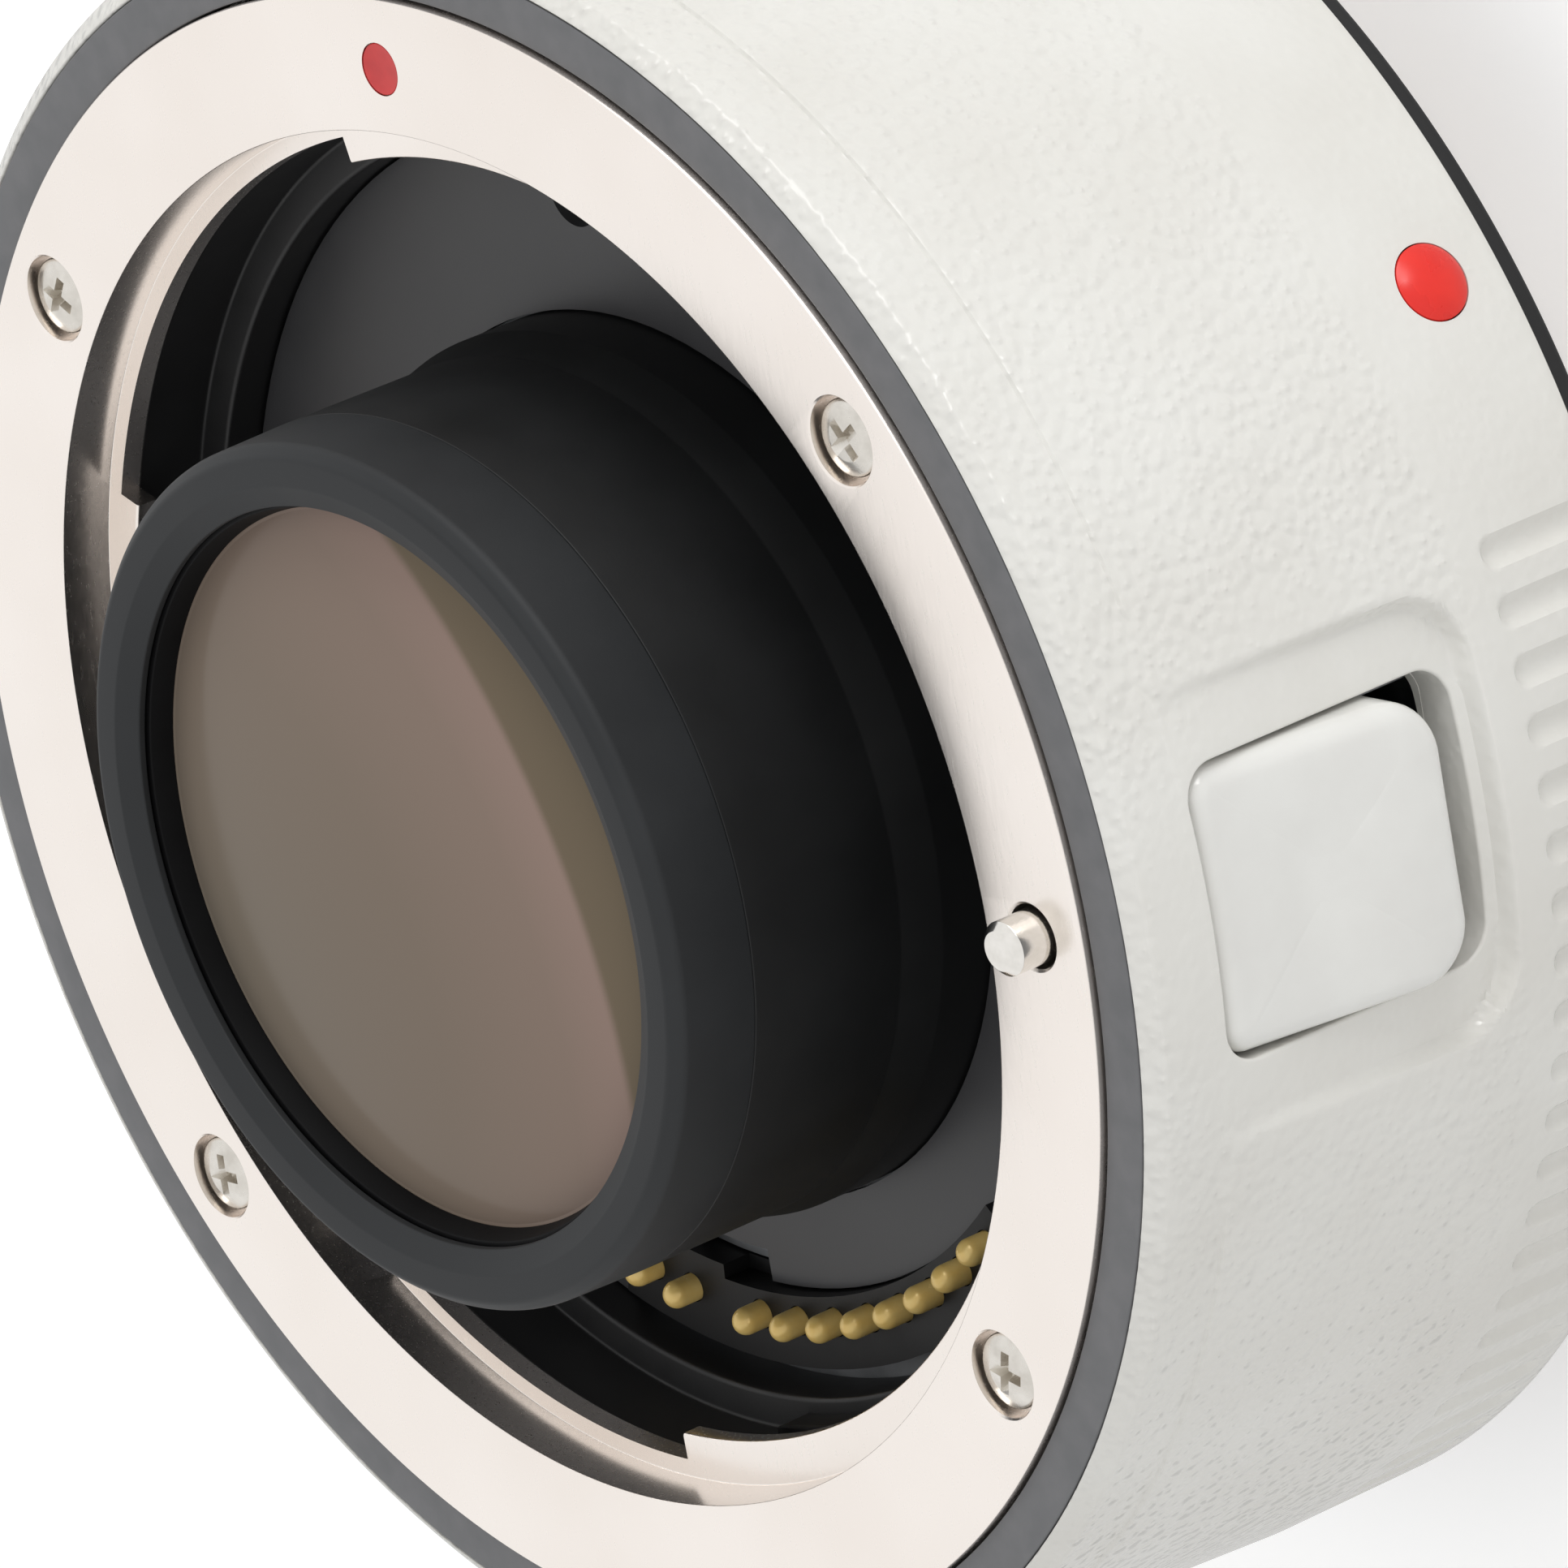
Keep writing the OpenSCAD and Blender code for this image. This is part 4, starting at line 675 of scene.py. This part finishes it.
gasket = turned("rear_seal", eased(
    [(32.6, 0.6), (35.0, 0.6), (35.0, 2.0), (33.0, 2.0), (33.0, 1.6), (32.6, 1.6)],
    [0.15, 0.35, 0.05, 0.05, 0.05, 0.05]), 300)
rubber = finish("seal_rubber", (14, 14, 15), (20, 20, 21), (0.5, 0.62), cloud=2.0, grain=0.2, bump=0.006)
seated(gasket, rubber, "housing", "gasket_black", "rear_gasket")
shield = turned("light_shield", eased(
    [(20.75, -6.6), (24.55, -6.6), (24.55, -5.45), (22.95, -5.45), (22.95, -1.25), (20.75, -1.25),
     (20.75, -2.4), (12.6, -2.4), (12.6, -3.4), (20.75, -3.4)],
    [0.12, 0.25, 0.1, 0.05, 0.1, 0.1, 0.1, 0.1, 0.1, 0.2]), 300)
block_span = (-110.37, -45.9)
carved(shield, turned("block_tool", [(20.75, -8), (25.5, -8), (25.5, 0), (20.75, 0)], 60, block_span))
shield_black = finish("shield_black", (18, 18, 19), (26, 26, 27), (0.5, 0.64), cloud=3.0, grain=0.18, bump=0.006)
seated(shield, shield_black, "housing", "black_plastic", "rear_baffle")
dressed(shield_black, "rear_contact_block")
dressed(gold, "rear_contact_pads")


# Release lever
# A moulded thumb slide under smooth gloss enamel, pillowed at its edges, with an easy rise to a ledge at its rear.
# Two screws from inside hold it to the slider plate, which carries the polished lock pin up to the mount face.

lever_half, lever_low, lever_high = 5.45, 12.5, 23.1
lever_corner_low, lever_corner_high, lever_edge = 2.2, 1.1, 0.75
lever_root_x = 33.3
rise_from, rise_to = 19.39, 13.77
ledge = 1.45


def lever_r(z):
    """Radius of the lever's outside: level with the recess in front, raised at its rear."""
    return recess_floor + ledge * eased_step((rise_from - z) / (rise_from - rise_to))


edge_insets = [lever_edge * (1 - math.cos(a)) for a in np.radians(np.linspace(0, 90, 9))]
face_insets = np.linspace(1.0, 4.6, 13)
loops = []
for inset in [*edge_insets, *face_insets]:
    y, z = round_rect(lever_half - inset, lever_low + inset, lever_high - inset, max(lever_corner_low - inset, 0.12),
                      max(lever_corner_high - inset, 0.12), 10).T
    drop = lever_edge - math.sqrt(max(lever_edge ** 2 - max(lever_edge - inset, 0) ** 2, 0))
    loops.append(np.stack([np.sqrt(lever_r(z) ** 2 - y ** 2) - drop, y, z], 1))
sides = len(loops[0])
root = loops[0].copy()
root[:, 0] = lever_root_x
loops = [root] + loops
faces = [tuple(range(sides))[::-1]]
for k in range(len(loops) - 1):
    for i in range(sides):
        n = (i + 1) % sides
        faces.append((k * sides + i, k * sides + n, (k + 1) * sides + n, (k + 1) * sides + i))
faces.append(tuple((len(loops) - 1) * sides + i for i in range(sides)))
lever = meshed("thumb_slide", np.concatenate(loops), faces)
stem_plan = round_rect(4.4, 14.2, 20.4, 0.4, 0.4, 3)
stem_ends = [[(x, y, z) for y, z in stem_plan] for x in (30.4, lever_root_x + 0.1)]
carved(lever, prism("stem", *stem_ends), "UNION")
gloss = finish("lever_gloss", (222, 221, 217), (230, 230, 226), (0.2, 0.27), cloud=5.0, grain=1.1, bump=0.02,
               Coat_Weight=0.3)
seated(lever, gloss, "release_slider", "lever_paint", "release_lever")
dressed(spring_steel, "slider_plate")
dressed(screw_steel, "lever_screws")
lock = turned("lock_stud", eased(
    [(0, 19.1), (0.6, 19.1), (0.6, 20.6), (1.05, 20.6), (1.05, 28.5), (0.75, 28.8), (0, 28.8)],
    [0, 0.05, 0.05, 0.05, 0.05, 0.06, 0]), 56, at=(screw_r, 0))
polished = finish("pin_polished", (222, 219, 213), (236, 233, 228), (0.12, 0.2), metal=1.0,
                  cloud=0.6, grain=0.06, bump=0.0015)
seated(lock, polished, "release_slider", "mount_steel", "lock_pin")
coil_low, coil_high, slide_travel = 8.2, 14.0, 1.7
return_coil = coil("return_coil", (screw_r, 0), coil_low + 0.05, coil_high - 0.05, 0.97, 0.36, 6, steps=36)
seated(return_coil, spring_steel, "housing", "spring_steel", "return_spring")
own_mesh(return_coil)


# Studio
# A plain white floor under the part, a white surround, one soft panel low on the index side, a small lamp
# beside it that sets off the pebbled enamel, and two weaker fills.

floor_z, floor_half = -6.6, 900
floor_corners = [(x * floor_half, y * floor_half, floor_z) for x, y in ((-1, -1), (1, -1), (1, 1), (-1, 1))]
floor = meshed("studio_floor", floor_corners, [(0, 1, 2, 3)])
paper = finish("studio_paper", (243, 243, 243), (245, 245, 245), (0.8, 0.9), cloud=80.0, grain=2.0, bump=0.0)
tree = paper.node_tree
glow = spread(tree, node(tree, "LightPath").outputs["Is Camera Ray"], 0, 1, 0.0, 0.3)
tree.links.new(glow, tree.nodes["Principled BSDF"].inputs["Emission Strength"])
tree.nodes["Principled BSDF"].inputs["Emission Color"].default_value = (1, 1, 1, 1)
floor.data.materials.append(paper)

world = bpy.data.worlds.new("studio_surround")
bpy.context.scene.world = world
world.use_nodes = True
tree = world.node_tree
ray = node(tree, "LightPath").outputs
seen = node(tree, "Math", Value=ray["Is Camera Ray"])
seen.operation = "MAXIMUM"
tree.links.new(ray["Is Glossy Ray"], seen.inputs[1])
mirrored = node(tree, "Math", Value=seen.outputs[0])
mirrored.operation = "MAXIMUM"
tree.links.new(ray["Is Transmission Ray"], mirrored.inputs[1])
surround = tree.nodes["Background"]
surround.inputs["Color"].default_value = (1, 1, 1, 1)
tree.links.new(spread(tree, mirrored.outputs[0], 0, 1, 0.66, 1.0), surround.inputs["Strength"])

for name, spot, aim, width, height, power in (
        ("index_side_panel", (0.16, 0.62, 0.16), (0, 0, 0.015), 0.5, 0.3, 1.65),
        ("small_lamp", (0.28, 0.36, 0.1), (0.025, 0.025, 0.015), 0.06, 0.06, 0.11),
        ("front_fill", (0.5, -0.2, 0.55), (0, 0, 0.015), 0.6, 0.6, 0.8),
        ("far_fill", (-0.6, 0.1, 0.35), (0, 0, 0.015), 0.5, 0.4, 0.5)):
    lamp = bpy.data.lights.new(name, "AREA")
    lamp.shape, lamp.size, lamp.size_y, lamp.energy = "RECTANGLE", width, height, power
    panel = bpy.data.objects.new(name, lamp)
    panel.location = spot
    panel.rotation_euler = (Vector(spot) - Vector(aim)).to_track_quat("Z", "Y").to_euler()
    panel.visible_glossy = name in ("index_side_panel", "small_lamp")
    bpy.context.scene.collection.objects.link(panel)


# Camera
# A long lens, turned with the index upwards. The three rows are its right, up and backward directions.

lens = bpy.data.cameras.new("camera")
lens.lens, lens.sensor_width = 335.4, 36.0
lens.clip_start, lens.clip_end = 0.01, 10.0
camera = bpy.data.objects.new("camera", lens)
stand = (0.41915, 0.16481, 0.33226)
right_way, up_way, back_way = (0.6367, -0.1646, -0.7533), (-0.1338, 0.9385, -0.3182), (0.7594, 0.3034, 0.5756)
camera.matrix_world = Matrix.Translation(stand) @ Matrix((right_way, up_way, back_way)).transposed().to_4x4()
bpy.context.scene.collection.objects.link(camera)
bpy.context.scene.camera = camera
bpy.context.scene.view_settings.view_transform = "Standard"
